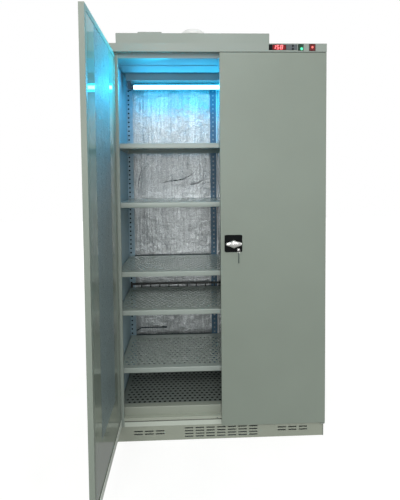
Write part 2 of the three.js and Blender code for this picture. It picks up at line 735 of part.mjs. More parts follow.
function heaterElement() {
  const half = HEATER_LENGTH / 2;
  const z = FLOOR_HEIGHT + GAP + HEATER_HEIGHT;
  const [front, rear] = [-HEATER_SPAN / 2, HEATER_SPAN / 2];
  const legs = [front, rear].map((y) => bar(HEATER_RADIUS, [-half, y, z], [half, y, z], 12));
  const bendZ = [z - HEATER_RADIUS, z + HEATER_RADIUS];
  const bend = block([half - 2 * HEATER_RADIUS, half], [front, rear], bendZ);
  const feet = [HEATER_LEFT_FOOT - half, half - HEATER_RIGHT_FOOT].map((x) => block(
    [x, x + HEATER_FOOT_WIDTH],
    [front - HEATER_RADIUS, rear + HEATER_RADIUS],
    [FLOOR_HEIGHT + 2 * GAP, z],
  ));
  return join(...legs, bend, ...feet);
}

function temperatureProbe() {
  const left = -LINER_INNER + UPRIGHT_WIDTH + 2 * GAP;
  const right = left + PROBE_LENGTH;
  const y = FOIL_FACE - GAP - PROBE_TIP_RADIUS;
  const rod = bar(PROBE_RADIUS, [left, y, PROBE_HEIGHT], [right, y, PROBE_HEIGHT], 12);
  const tipEnd = right + PROBE_TIP_LENGTH;
  const tip = bar(PROBE_TIP_RADIUS, [right - 1, y, PROBE_HEIGHT], [tipEnd, y, PROBE_HEIGHT], 12);
  return join(rod, tip);
}

// ---------- roof box and exhaust ----------

function roofBox() {
  const bottom = HEIGHT + GAP;
  const rear = ROOF_BOX_FRONT + ROOF_BOX_DEPTH;
  const shell = cut(
    block([ROOF_BOX_LEFT, ROOF_BOX_RIGHT], [ROOF_BOX_FRONT, rear], [bottom, ROOF_BOX_TOP]),
    block(
      [ROOF_BOX_LEFT + SHEET, ROOF_BOX_RIGHT - SHEET],
      [ROOF_BOX_FRONT + SHEET, rear - SHEET],
      [bottom - 1, ROOF_BOX_TOP - SHEET],
    ),
  );
  return cut(shell, exhaustOpening(ROOF_BOX_TOP - SHEET, ROOF_BOX_TOP));
}

function roofHatch() {
  const front = ROOF_BOX_FRONT + HATCH_SETBACK;
  const middleZ = ROOF_BOX_TOP + GAP + HATCH_HEIGHT / 2;
  const shape = roundedRect(HATCH_WIDTH, HATCH_HEIGHT, HATCH_CORNER, HATCH_LEFT + HATCH_WIDTH / 2, middleZ);
  return plateXZ(shape, front, front + HATCH_DEPTH, 2);
}

// The cap stands on the roof box: a neck with air vents under a wide shallow dome.
function exhaustCap() {
  const neck = EXHAUST_RADIUS + CAP_WALL;
  const rise = CAP_HEIGHT - CAP_NECK;
  const arc = (radius, height, steps) => Array.from({ length: steps + 1 }, (_, i) => {
    const angle = (i / steps) * (Math.PI / 2);
    return new THREE.Vector2(radius * Math.cos(angle), CAP_NECK + height * Math.sin(angle));
  });
  const outer = arc(CAP_RADIUS, rise, 5);
  const inner = arc(EXHAUST_RADIUS, rise - CAP_WALL, 5).reverse();
  const profile = [
    new THREE.Vector2(neck, 0),
    new THREE.Vector2(neck, CAP_NECK - CAP_WALL),
    new THREE.Vector2(CAP_RADIUS, CAP_NECK - CAP_WALL),
    ...outer.slice(0, -1),
    new THREE.Vector2(0, CAP_HEIGHT),
    new THREE.Vector2(0, CAP_HEIGHT - CAP_WALL),
    ...inner.slice(1),
    new THREE.Vector2(EXHAUST_RADIUS, 0),
    new THREE.Vector2(neck, 0),
  ];
  const geometry = new THREE.LatheGeometry(profile, 28).rotateX(Math.PI / 2);
  const vents = Array.from({ length: CAP_VENTS }, (_, i) => {
    const tool = new THREE.BoxGeometry(4 * CAP_WALL, CAP_VENT_WIDTH, CAP_VENT_HEIGHT);
    tool.translate(neck, 0, CAP_NECK / 2 - CAP_WALL / 2).rotateZ((i / CAP_VENTS) * 2 * Math.PI);
    return toSolid(tool);
  });
  return cut(toSolid(geometry), ...vents).translate([EXHAUST_X, EXHAUST_Y, ROOF_BOX_TOP + GAP]);
}

function exhaustMotor() {
  const bottom = HEIGHT + GAP;
  const strapTop = bottom + MOTOR_STRAP_THICKNESS;
  const half = MOTOR_STRAP_LENGTH / 2;
  const strap = block(
    [EXHAUST_X - half, EXHAUST_X + half],
    [EXHAUST_Y - MOTOR_STRAP_WIDTH / 2, EXHAUST_Y + MOTOR_STRAP_WIDTH / 2],
    [bottom, strapTop],
  );
  const can = bar(
    MOTOR_RADIUS,
    [EXHAUST_X, EXHAUST_Y, strapTop - 1],
    [EXHAUST_X, EXHAUST_Y, strapTop + MOTOR_HEIGHT],
  );
  return join(strap, can);
}

function exhaustImpeller() {
  const bottom = HEIGHT + GAP + MOTOR_STRAP_THICKNESS + MOTOR_HEIGHT + IMPELLER_GAP;
  const hub = bar(IMPELLER_HUB_RADIUS, [0, 0, 0], [0, 0, IMPELLER_HEIGHT]);
  const blades = Array.from({ length: IMPELLER_BLADES }, (_, i) => {
    const length = IMPELLER_RADIUS - IMPELLER_HUB_RADIUS + BLADE_ROOT;
    const blade = new THREE.BoxGeometry(length, BLADE_WIDTH, BLADE_THICKNESS).rotateX(BLADE_PITCH);
    blade.translate(IMPELLER_HUB_RADIUS - BLADE_ROOT + length / 2, 0, IMPELLER_HEIGHT / 2);
    return toSolid(blade.rotateZ((i / IMPELLER_BLADES) * 2 * Math.PI));
  });
  return join(hub, ...blades).translate([EXHAUST_X, EXHAUST_Y, bottom]);
}

// ---------- controls ----------

function controlHousing() {
  const { depth, sheet, margin } = CONTROL_BOX;
  const [left, right] = [SIDE + CONTROL_BOX.left, SIDE + CONTROL_BOX.right];
  const rear = BODY_FRONT - 2 * GAP;
  const front = rear - depth;
  const [bottom, top] = [HEADER_BOTTOM + SHEET + margin, ROOF_UNDER - GAP];
  return cut(
    block([left, right], [front, rear], [bottom, top]),
    block([left + sheet, right - sheet], [front - 1, rear - sheet], [bottom + sheet, top - sheet]),
  );
}

function displayWindow() {
  const { width, height } = DISPLAY;
  return block(
    [DISPLAY_LEFT, DISPLAY_LEFT + width - GAP],
    [FRONT - CONTROL_PROUD, FRONT + CONTROL_DEPTH],
    [DISPLAY_Z - height / 2, DISPLAY_Z + height / 2],
  );
}

function keypadPanel() {
  const left = DISPLAY_LEFT + DISPLAY.width;
  const half = DISPLAY.height / 2;
  const front = FRONT - CONTROL_PROUD;
  const rear = FRONT + CONTROL_DEPTH;
  const pad = block([left, left + KEYPAD.width], [front, rear], [DISPLAY_Z - half, DISPLAY_Z + half]);
  const holes = [BUTTON_UP_Z, BUTTON_DOWN_Z].map((z) => bar(
    KEYPAD.radius + GAP,
    [BUTTON_X, front - 1, z],
    [BUTTON_X, rear + 1, z],
    16,
  ));
  return cut(pad, ...holes);
}

function keypadButton(z) {
  const front = FRONT - CONTROL_PROUD - KEYPAD.proud;
  return bar(KEYPAD.radius, [BUTTON_X, front, z], [BUTTON_X, FRONT + CONTROL_DEPTH - KEYPAD.travel, z], 16);
}

// The rocker's pivot is on the panel's rear face, and its cap is a shallow V that stands proud.
function rocker(item) {
  const half = item.height / 2;
  const section = new THREE.Shape([
    new THREE.Vector2(-ROCKER_CREST, -half),
    new THREE.Vector2(ROCKER_DEPTH, -half * ROCKER_BASE_SHARE),
    new THREE.Vector2(ROCKER_DEPTH, half * ROCKER_BASE_SHARE),
    new THREE.Vector2(-ROCKER_CREST, half),
    new THREE.Vector2(-ROCKER_CREST / 2, 0),
  ]);
  const geometry = new THREE.ExtrudeGeometry(section, { depth: item.width, bevelEnabled: false });
  geometry.rotateY(Math.PI / 2).rotateX(Math.PI / 2).translate(-item.width / 2, 0, 0);
  return toSolid(geometry);
}

function placeRocker(name, item, look) {
  const group = new THREE.Group();
  group.position.set(SIDE + item.x, FRONT, HEIGHT + item.z);
  group.rotation.x = ROCKER_TILT;
  cabinet.add(group);
  place(name, rocker(item), look, group);
}

// ---------- doors ----------

// A door is drawn closed, with u from the hinge axis to the free edge and v from the axis inwards.
function doorBlock(side, us, vs, zs) {
  return block(us.map((u) => -side * u), vs, zs);
}

const DOOR_U = [-HINGE_FROM_EDGE, DOOR_WIDTH - HINGE_FROM_EDGE];
const DOOR_V = [HINGE_FROM_INNER_FACE - DOOR_THICKNESS, HINGE_FROM_INNER_FACE];
const FOIL_Z = [DOOR_BOTTOM + FOIL_BOTTOM_MARGIN, DOOR_TOP - FOIL_TOP_MARGIN];
const FOIL_U = shrink(DOOR_U, FOIL_SIDE_MARGIN);

function doorSkin(side, holes) {
  const zs = [DOOR_BOTTOM, DOOR_TOP];
  const hollowV = [DOOR_V[0] + DOOR_SHEET, DOOR_V[1] - DOOR_SHEET];
  const pinHole = bar(PIN_RADIUS + PIN_CLEARANCE, [0, 0, DOOR_BOTTOM - 1], [0, 0, DOOR_TOP + 1]);
  const hinged = cut(
    doorBlock(side, DOOR_U, DOOR_V, zs),
    doorBlock(side, shrink(DOOR_U, DOOR_SHEET), hollowV, shrink(zs, DOOR_SHEET)),
    doorBlock(side, shrink(DOOR_U, DOOR_LIP), [0, DOOR_V[1] + 1], shrink(zs, DOOR_LIP)),
    pinHole,
  );
  return cut(hinged, ...holes);
}

function doorLiner(side, holes, guides) {
  const face = DOOR_V[1] - DOOR_SHEET - GAP;
  const us = shrink(DOOR_U, DOOR_SHEET + GAP);
  const zs = shrink([DOOR_BOTTOM, DOOR_TOP], DOOR_SHEET + GAP);
  const pinHole = bar(PIN_RADIUS + PIN_CLEARANCE, [0, 0, DOOR_BOTTOM - 1], [0, 0, DOOR_TOP + 1]);
  const sheet = cut(
    doorBlock(side, us, [face - DOOR_SHEET, face], zs),
    doorBlock(side, FOIL_U, [face - 2 * DOOR_SHEET, face + 1], FOIL_Z),
    pinHole,
    ...holes,
  );
  return join(sheet, ...guides);
}

// A foil pan inside the door, open towards the skin, whose face fills the liner's window.
function doorFoil(side) {
  const rear = DOOR_V[1] - 2 * DOOR_SHEET - 2 * GAP;
  const front = DOOR_V[0] + DOOR_SHEET + GAP;
  const us = [FOIL_U[0] - DOOR_LIP, FOIL_U[1] + DOOR_LIP];
  const zs = [FOIL_Z[0] - DOOR_LIP / 2, FOIL_Z[1] + DOOR_LIP / 2];
  const pan = cut(
    doorBlock(side, us, [front, rear], zs),
    doorBlock(side, shrink(us, FOIL_SHEET), [front - 1, rear - FOIL_SHEET], shrink(zs, FOIL_SHEET)),
  );
  const face = doorBlock(
    side,
    shrink(FOIL_U, GAP),
    [rear - FOIL_SHEET / 2, rear + DOOR_SHEET],
    shrink(FOIL_Z, GAP),
  );
  return join(pan, face);
}

function doorGroup(side, open) {
  const group = new THREE.Group();
  group.position.set(side * HINGE_X, HINGE_Y, 0);
  group.rotation.z = side * open;
  cabinet.add(group);
  return group;
}

function leftDoor() {
  const group = doorGroup(-1, LEFT_DOOR_OPEN);
  place('left_door_skin', doorSkin(-1, []), paint, group);
  place('left_door_liner', doorLiner(-1, [], []), paint, group);
  place('left_door_foil', doorFoil(-1), foil, group);
}

// A hoop on the liner that a lock rod slides through, in the closed door's own frame.
function rodGuide(z) {
  const x = HANDLE_X - HINGE_X;
  const face = DOOR_V[1] - DOOR_SHEET - GAP - DOOR_SHEET / 2;
  const rodV = ROD_FRONT - HINGE_Y;
  const half = ROD_GUIDE_WIDTH / 2;
  const free = ROD_WIDTH / 2 + ROD_CLEARANCE;
  return cut(
    block(
      [x - half, x + half],
      [face, rodV + ROD_THICKNESS + ROD_GUIDE_WALL],
      [z, z + ROD_GUIDE_THICKNESS],
    ),
    block(
      [x - free, x + free],
      [rodV - ROD_CLEARANCE, rodV + ROD_THICKNESS + ROD_CLEARANCE],
      [z - 1, z + ROD_GUIDE_THICKNESS + 1],
    ),
  );
}

function rightDoor() {
  const group = doorGroup(1, 0);
  const spindleX = HANDLE_X - HINGE_X;
  const keyX = spindleX + KEY_OFFSET_X;
  const keyZ = HANDLE_Z + KEY_OFFSET_Z;
  const reach = DOOR_THICKNESS;
  const holes = [
    bar(SPINDLE_RADIUS + PIN_CLEARANCE, [spindleX, -reach, HANDLE_Z], [spindleX, reach, HANDLE_Z]),
    bar(KEY_BARREL_RADIUS + GAP, [keyX, -reach, keyZ], [keyX, reach, keyZ]),
  ];
  place('right_door_skin', doorSkin(1, holes), paint, group);
  place('right_door_liner', doorLiner(1, holes, ROD_GUIDE_HEIGHTS.map(rodGuide)), paint, group);
  place('right_door_foil', doorFoil(1), foil, group);
}

// Each pin has a head that sits on the far side of the sheet that carries it.
function hingePin(side, isTop) {
  const x = side * HINGE_X;
  const seat = isTop ? HEADER_BOTTOM + SHEET + GAP : EAR_TOP - EAR_THICKNESS - GAP;
  const outward = isTop ? 1 : -1;
  const tip = isTop ? DOOR_TOP - PIN_REACH : DOOR_BOTTOM + PIN_REACH;
  const head = bar(PIN_HEAD_RADIUS, [x, HINGE_Y, seat], [x, HINGE_Y, seat + outward * PIN_HEAD], 16);
  const shank = bar(PIN_RADIUS, [x, HINGE_Y, seat + outward], [x, HINGE_Y, tip], 16);
  return join(head, shank);
}

// ---------- handle and lock ----------

function handlePlate() {
  const shape = roundedRect(PLATE_WIDTH, PLATE_HEIGHT, PLATE_CORNER, HANDLE_X, HANDLE_Z);
  const [y0, y1] = [HANDLE_BASE, HANDLE_BASE + PLATE_THICKNESS];
  const keyX = HANDLE_X + KEY_OFFSET_X;
  const keyZ = HANDLE_Z + KEY_OFFSET_Z;
  return cut(
    plateXZ(shape, y0, y1),
    bar(SPINDLE_RADIUS + PIN_CLEARANCE, [HANDLE_X, y0 - 1, HANDLE_Z], [HANDLE_X, y1 + 1, HANDLE_Z]),
    bar(KEY_BARREL_RADIUS + GAP, [keyX, y0 - 1, keyZ], [keyX, y1 + 1, keyZ]),
  );
}

function wingHandle() {
  const seat = HANDLE_BASE - PIN_CLEARANCE;
  const wingBack = seat - HUB_HEIGHT;
  const wingFront = wingBack - WING_THICKNESS;
  const hub = bar(HUB_RADIUS, [HANDLE_X, seat, HANDLE_Z], [HANDLE_X, wingFront + 1, HANDLE_Z], 24);
  const dome = bar(
    DOME_RADIUS,
    [HANDLE_X, wingFront + 2, HANDLE_Z],
    [HANDLE_X, wingFront - DOME_HEIGHT, HANDLE_Z],
    24,
  );
  const shape = roundedRect(WING_SPAN, WING_HEIGHT, WING_HEIGHT / 2 - 1, HANDLE_X, HANDLE_Z);
  const wings = plateXZ(shape, wingFront, wingBack);
  const camFace = FRONT + DOOR_THICKNESS + CAM_STANDOFF + CAM_THICKNESS;
  const spindle = bar(SPINDLE_RADIUS, [HANDLE_X, wingBack, HANDLE_Z], [HANDLE_X, camFace, HANDLE_Z]);
  return join(hub, dome, wings, spindle);
}

// The cam points up when unlocked, and swings behind the left door's edge when locked.
function lockCam() {
  const near = FRONT + DOOR_THICKNESS + CAM_STANDOFF;
  const far = near + CAM_THICKNESS;
  const disc = bar(CAM_HUB_RADIUS, [HANDLE_X, near, HANDLE_Z], [HANDLE_X, far, HANDLE_Z], 24);
  const tongue = block(
    [HANDLE_X - CAM_WIDTH / 2, HANDLE_X + CAM_WIDTH / 2],
    [near, far],
    [HANDLE_Z, HANDLE_Z + CAM_LENGTH],
  );
  const bore = bar(SPINDLE_RADIUS + GAP, [HANDLE_X, near - 1, HANDLE_Z], [HANDLE_X, far + 1, HANDLE_Z]);
  return cut(join(disc, tongue), bore);
}

function lockRod(isUpper) {
  const away = CAM_HUB_RADIUS + ROD_TRAVEL;
  const tipUpper = RAIL_BOTTOM - ROD_END_GAP;
  const tipLower = FLOOR_HEIGHT + GAP + THRESHOLD_HEIGHT + ROD_END_GAP;
  const zs = isUpper ? [HANDLE_Z + away, tipUpper] : [tipLower, HANDLE_Z - away];
  return block(
    [HANDLE_X - ROD_WIDTH / 2, HANDLE_X + ROD_WIDTH / 2],
    [ROD_FRONT, ROD_FRONT + ROD_THICKNESS],
    zs,
  );
}

function lockKey() {
  const x = HANDLE_X + KEY_OFFSET_X;
  const z = HANDLE_Z + KEY_OFFSET_Z;
  const face = HANDLE_BASE - KEY_BARREL_PROUD;
  const barrel = bar(KEY_BARREL_RADIUS, [x, face, z], [x, FRONT + KEY_BARREL_DEPTH, z], 20);
  const shank = block(
    [x - KEY_SHANK.width / 2, x + KEY_SHANK.width / 2],
    [face - KEY_SHANK.length, face + 1],
    [z - KEY_SHANK.height / 2, z + KEY_SHANK.height / 2],
  );
  const bow = block(
    [x - KEY_BOW.thickness / 2, x + KEY_BOW.thickness / 2],
    [face - KEY_SHANK.length - KEY_BOW.width, face - KEY_SHANK.length + 1],
    [z - KEY_BOW.height / 2, z + KEY_BOW.height / 2],
  );
  return join(barrel, shank, bow);
}

// ---------- cable gland ----------

function cableGland() {
  const inner = BACK_SHEET_INNER - GLAND_TAIL;
  const seat = BACK_SHEET_OUTER + GAP;
  const end = seat + GLAND_NUT + GLAND_DOME;
  const thread = bar(GLAND_RADIUS, [GLAND_X, inner, GLAND_Z], [GLAND_X, seat + 1, GLAND_Z]);
  const nut = bar(GLAND_NUT_RADIUS, [GLAND_X, seat, GLAND_Z], [GLAND_X, seat + GLAND_NUT, GLAND_Z], 6);
  const dome = bar(GLAND_RADIUS, [GLAND_X, seat, GLAND_Z], [GLAND_X, end, GLAND_Z]);
  const bore = bar(GLAND_BORE, [GLAND_X, inner - 1, GLAND_Z], [GLAND_X, end + 1, GLAND_Z], 12);
  return cut(join(thread, nut, dome), bore);
}

// ---------- assembly ----------

place('side_panel_left', sidePanel(-1), paint);
place('side_panel_right', sidePanel(1), paint);
place('back_panel', backPanel(), paint);
place('roof_panel', roofPanel(), paint);
place('header_fascia', headerFascia(), paintLight);
place('top_rail', topRail(), paint);
place('bottom_panel', bottomPanel(), paint);
place('threshold', threshold(), paintLight);
place('plinth_front', plinthFront(), paintDark);
place('base_pan', basePan(), zinc);

place('back_liner', backLiner(), foil);
place('side_liner_left', sideLiner(-1), paint);
place('side_liner_right', sideLiner(1), paint);
place('ceiling_panel', ceilingPanel(), paint);
place('ceiling_baffle', ceilingBaffle(), paintLight);

const UPRIGHT_X = LINER_INNER - GAP - UPRIGHT_WIDTH / 2;
place('upright_left', upright(-UPRIGHT_X), zinc);
place('upright_centre', upright(0), zinc);
place('upright_right', upright(UPRIGHT_X), zinc);
SHELF_TOPS.forEach((top, index) => {
  place(`shelf_${index + 1}`, shelf(index + 1, top), paintLight);
});
place('bottom_tray', foldedDeck(TRAY_TOP, TRAY_FLANGE), paintLight);

place('lamp_housing', lampHousing(), paintLight);
place('lamp_tube', lampTube(), tubeGlass);
place('lamp_holder_left', lampHolder(-1), whitePlastic);
place('lamp_holder_right', lampHolder(1), whitePlastic);

place('heater_element', heaterElement(), heaterSteel);
place('temperature_probe', temperatureProbe(), darkRubber);

place('roof_box', roofBox(), paint);
place('roof_hatch', roofHatch(), paintLight);
place('exhaust_cap', exhaustCap(), whitePlastic);
place('exhaust_motor', exhaustMotor(), zinc);
place('exhaust_impeller', exhaustImpeller(), blackPlastic);

place('control_housing', controlHousing(), blackPlastic);
place('display_window', displayWindow(), displayRed);
place('keypad_panel', keypadPanel(), greyPlastic);
place('button_up', keypadButton(BUTTON_UP_Z), blackPlastic);
place('button_down', keypadButton(BUTTON_DOWN_Z), blackPlastic);
placeRocker('rocker_green', GREEN_ROCKER, lensGreen);
placeRocker('rocker_red', RED_ROCKER, lensRed);
place('cable_gland', cableGland(), darkRubber);

leftDoor();
rightDoor();
place('hinge_pin_left_top', hingePin(-1, true), steel);
place('hinge_pin_left_bottom', hingePin(-1, false), steel);
place('hinge_pin_right_top', hingePin(1, true), steel);
place('hinge_pin_right_bottom', hingePin(1, false), steel);

place('handle_plate', handlePlate(), blackPlastic);
place('wing_handle', wingHandle(), steel);
place('lock_cam', lockCam(), zinc);
place('lock_rod_upper', lockRod(true), zinc);
place('lock_rod_lower', lockRod(false), zinc);
place('lock_key', lockKey(), steel);

export default cabinet;
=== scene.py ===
"""Drying cabinet with an ultraviolet lamp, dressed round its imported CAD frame.

Pieces are drawn in millimetres in the frame that all three tools share, and made in metres.
"""
import json
import math

import bmesh
import bpy
from mathutils import Matrix, Vector, noise


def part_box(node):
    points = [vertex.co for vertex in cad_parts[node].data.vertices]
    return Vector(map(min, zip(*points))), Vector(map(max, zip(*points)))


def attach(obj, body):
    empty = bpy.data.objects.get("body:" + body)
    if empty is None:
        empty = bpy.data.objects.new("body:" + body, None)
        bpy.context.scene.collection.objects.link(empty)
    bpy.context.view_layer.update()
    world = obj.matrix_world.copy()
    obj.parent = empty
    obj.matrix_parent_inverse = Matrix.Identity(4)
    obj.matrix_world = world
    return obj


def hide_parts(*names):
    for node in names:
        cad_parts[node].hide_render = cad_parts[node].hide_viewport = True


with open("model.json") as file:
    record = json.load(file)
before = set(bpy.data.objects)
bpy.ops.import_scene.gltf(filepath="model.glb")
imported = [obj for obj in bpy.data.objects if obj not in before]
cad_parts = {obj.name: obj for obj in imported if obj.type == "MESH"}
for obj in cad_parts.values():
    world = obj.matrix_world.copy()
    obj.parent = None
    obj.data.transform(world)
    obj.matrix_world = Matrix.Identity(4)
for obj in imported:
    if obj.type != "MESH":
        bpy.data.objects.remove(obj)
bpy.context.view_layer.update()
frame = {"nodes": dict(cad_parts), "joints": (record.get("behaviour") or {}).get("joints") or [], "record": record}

MM = 0.001


# ---------- places taken from the frame ----------

def box_mm(node):
    """The lowest and highest corners of a CAD node, in millimetres."""
    low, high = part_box(node)
    return low * 1000, high * 1000


HINGE = {j["name"]: Vector(j["pos_m"]) * 1000 for j in frame["joints"] if "pos_m" in j}


# ---------- node helpers ----------

def srgb(red, green, blue):
    """A linear colour from the display values 0 to 255."""
    def channel(value):
        v = value / 255
        return v / 12.92 if v <= 0.04045 else ((v + 0.055) / 1.055) ** 2.4
    return (channel(red), channel(green), channel(blue), 1.0)


def scaled(colour, factor):
    """A colour made darker or lighter, and never brighter than white."""
    return tuple(min(1.0, c * factor) for c in colour[:3]) + (1.0,)


def fill(tree, node, *inputs, **named):
    """Gives inputs of a node a value or a link, by place or by name with _ for a space."""
    for key, value in [*enumerate(inputs), *((k.replace("_", " "), v) for k, v in named.items())]:
        if isinstance(value, bpy.types.NodeSocket):
            tree.links.new(value, node.inputs[key])
        else:
            node.inputs[key].default_value = value
    return node


def add_node(tree, kind, *inputs, operation=None, **named):
    """A new shader node with its inputs filled."""
    node = tree.nodes.new(f"ShaderNode{kind}")
    if operation:
        node.operation = operation
    return fill(tree, node, *inputs, **named)


class Look:
    """A material with one Principled shader, and short calls for what feeds it."""

    def __init__(self, name):
        self.material = bpy.data.materials.new(name)
        self.material.use_nodes = True
        self.tree = self.material.node_tree
        self.shader = self.tree.nodes["Principled BSDF"]
        self.coords = self.add("TexCoord").outputs["Object"]

    def add(self, kind, *inputs, **named):
        return add_node(self.tree, kind, *inputs, **named)

    def made(self, **inputs):
        """Fills inputs of the shader, and gives the material."""
        fill(self.tree, self.shader, **inputs)
        return self.material

    def stretched(self, x, y, z):
        return self.add("Mapping", Vector=self.coords, Scale=(x, y, z)).outputs["Vector"]

    def noise(self, scale, detail=2.0, roughness=0.5, vector=None):
        vector = vector or self.coords
        node = self.add("TexNoise", Vector=vector, Scale=scale, Detail=detail, Roughness=roughness)
        return node.outputs["Fac"]

    def cells(self, scale):
        return self.add("TexVoronoi", Vector=self.coords, Scale=scale).outputs["Distance"]

    def spread(self, value, low, high, start=0.3, end=0.7):
        """Maps a value between start and end onto low to high."""
        node = self.add("MapRange", Value=value, From_Min=start, From_Max=end, To_Min=low, To_Max=high)
        return node.outputs["Result"]

    def blend(self, factor, first, second):
        node = self.add("Mix")
        node.data_type = "RGBA"
        return fill(self.tree, node, Factor=factor, A=first, B=second).outputs["Result"]

    def cloudy(self, colour, amount, scale, detail):
        """A colour that wavers by an amount, as a noise does."""
        tone = self.spread(self.noise(scale, detail), 0, 1)
        return self.blend(tone, scaled(colour, 1 - amount), scaled(colour, 1 + amount))

    def bump(self, height, distance, strength=1.0, below=None):
        node = self.add("Bump", Height=height, Distance=distance, Strength=strength)
        if below is not None:
            fill(self.tree, node, Normal=below)
        return node.outputs["Normal"]

    def nearness(self, axes, spot, start, reach):
        """1 up to start from a spot and 0 beyond reach, in millimetres along the marked axes."""
        flat = self.add("VectorMath", self.coords, axes, operation="MULTIPLY").outputs["Vector"]
        point = [c * MM for c in spot]
        away = self.add("VectorMath", flat, point, operation="DISTANCE").outputs["Value"]
        return self.spread(away, 1.0, 0.0, start * MM, reach * MM)


def painted(name, colour, roughness=0.45):
    """Powder coat: a faint cloudiness, a fine orange peel and a few duller patches."""
    look = Look(name)
    specks = look.spread(look.noise(420, 1.0), 0, 0.22, 0.55, 0.75)
    return look.made(
        IOR=1.5,
        Base_Color=look.blend(specks, look.cloudy(colour, 0.04, 2.6, 4.0), scaled(colour, 0.86)),
        Roughness=look.spread(look.noise(7, 3.0), roughness - 0.03, roughness + 0.05),
        Normal=look.bump(look.noise(520, 2.0), 0.00005, 0.3))


def moulded(name, colour, roughness, grain=700):
    """Moulded plastic or rubber with a fine spark-eroded grain, and less sheen where it is black."""
    look = Look(name)
    return look.made(
        Specular_IOR_Level=0.05 if max(colour[:3]) < 0.02 else 0.5,
        Base_Color=look.cloudy(colour, 0.08, 30, 3.0),
        Roughness=look.spread(look.noise(60, 2.0), roughness - 0.06, roughness + 0.06),
        Normal=look.bump(look.noise(grain, 2.0), 0.00008, 0.5))


def metal(name, colour, roughness, brush, patch, metallic=1.0):
    """Metal with fine drawn lines and cloudy patches: brush is how often the lines repeat along X, Y, Z."""
    look = Look(name)
    lines = look.noise(1.0, 2.0, vector=look.stretched(*brush))
    return look.made(
        Metallic=metallic,
        Base_Color=look.cloudy(colour, patch, 28, 3.0),
        Roughness=look.spread(lines, roughness - 0.06, roughness + 0.1),
        Normal=look.bump(lines, 0.00006, 0.4))


def zinc(name, colour, roughness=0.4):
    """Dull galvanised sheet."""
    return metal(name, colour, roughness, (40, 40, 700), 0.14, 0.15)


def crinkled_foil(name, colour, metallic, depth, streaked):
    """Reflective foil over wadding: a fine embossed grain, soft dents and upright streaks."""
    look = Look(name)
    grain = look.noise(190, 2.0, 0.7)
    bands = look.noise(1.0, 2.0, 0.5, look.stretched(19, 19, 1.3))
    streaks = look.noise(1.0, 2.0, 0.6, look.stretched(95, 95, 5))
    tone = look.blend(look.spread(grain, 0, 1, 0.36, 0.64), scaled(colour, 0.72), scaled(colour, 1.12))
    tone = look.blend(look.spread(streaks, 0, streaked, 0.48, 0.66), tone, scaled(colour, 0.55))
    tone = look.blend(look.spread(bands, 0, streaked, 0.46, 0.66), tone, scaled(colour, 0.5))
    emboss = look.bump(look.cells(230), 0.0008 * depth, 0.6)
    emboss = look.bump(grain, 0.0014 * depth, 0.7, emboss)
    emboss = look.bump(streaks, 0.005, 1.1 * streaked, emboss)
    return look.made(
        Metallic=metallic,
        Base_Color=tone,
        Roughness=look.spread(look.noise(120, 2.0), 0.27, 0.4),
        Normal=look.bump(look.noise(22, 3.0), 0.012, 0.5, emboss))


def lit(name, colour, glow, strength, roughness=0.2):
    """A lens or a digit that is lit evenly."""
    look = Look(name)
    return look.made(
        Base_Color=look.cloudy(colour, 0.05, 90, 2.0), Roughness=roughness,
        Emission_Color=glow, Emission_Strength=strength)


def tube_glow(name, window):
    """A glowing tube, blue all round and nearly white along one strip on its front, which is a painted highlight:
    window, the strip's place, is in Y and Z.
    """
    look = Look(name)
    tone = look.spread(look.noise(90, 2.0), 0, 1)
    # near marks the strip of painted highlight round the window
    near = look.nearness((0, 1, 1), (0, *window), 6, 15)
    return look.made(
        Base_Color=look.blend(tone, srgb(210, 236, 246), srgb(228, 248, 255)), Roughness=0.2,
        Emission_Color=look.blend(near, (0.02, 0.62, 1.0, 1), (0.76, 1.0, 1.0, 1)), Emission_Strength=3.0)


def rocker_look(name, dark, bright, glow, spot, reach, strength):
    """A translucent rocker, lit round one spot of its face: spot is in X and Z."""
    look = Look(name)
    near = look.nearness((1, 0, 1), (spot[0], 0, spot[1]), 1.5, reach)
    return look.made(
        Base_Color=look.blend(near, dark, bright), Roughness=0.25,
        Emission_Color=look.blend(near, (0, 0, 0, 1), glow), Emission_Strength=strength,
        Normal=look.bump(look.noise(500, 2.0), 0.00005, 0.4))


DOOR_PAINT = srgb(141, 151, 140)
BODY_PAINT = srgb(152, 162, 154)
LIGHT_PAINT = srgb(166, 176, 169)
PLINTH_PAINT = srgb(164, 170, 156)

LOOKS = {
    "painted_body": painted("body_paint", BODY_PAINT),
    "painted_door": painted("door_paint", DOOR_PAINT, 0.42),
    "painted_plinth": painted("plinth_paint", PLINTH_PAINT, 0.4),
    "painted_shelf": painted("shelf_paint", LIGHT_PAINT, 0.14),
    "foil": crinkled_foil("crinkled_foil", srgb(186, 191, 192), 0.8, 1.4, 0.42),
    # The door foil is a darker, bluer, less metallic copy of the back foil: painted shade and painted blue lamp
    # light on the same foil
    "door_foil": crinkled_foil("door_foil_blue_shaded", srgb(148, 166, 168), 0.35, 3.4, 0.15),
    "zinc": zinc("zinc_sheet", srgb(150, 160, 164)),
    "bright_steel": metal("polished_steel", srgb(214, 214, 212), 0.2, (40, 500, 500), 0.06),
    "heater_steel": metal("heat_tinted_steel", srgb(128, 112, 98), 0.4, (500, 40, 40), 0.25),
    "white_plastic": moulded("white_plastic", srgb(252, 253, 250), 0.4),
    "black_plastic": moulded("black_plastic", srgb(20, 22, 23), 0.36),
    "grey_plastic": moulded("grey_plastic", srgb(84, 90, 94), 0.45),
    "display_lens": lit("display_lens", srgb(38, 6, 8), srgb(150, 0, 12), 0.6, 0.12),
    "green_lens": lit("green_lens", srgb(12, 92, 58), srgb(10, 210, 120), 0.5),
    "red_lens": lit("red_lens", srgb(120, 10, 14), srgb(200, 10, 16), 0.35),
    "dark_rubber": moulded("dark_rubber", srgb(26, 48, 50), 0.6, 400),
    # painted shade: the grey of the strip that stands for the gap under the threshold
    "sill_shade_rubber": moulded("sill_shade_rubber", srgb(104, 108, 100), 0.6, 400),
    "lamp_glass": tube_glow("lamp_glow", (27.4, 1748.0)),
}


# ---------- mesh helpers ----------

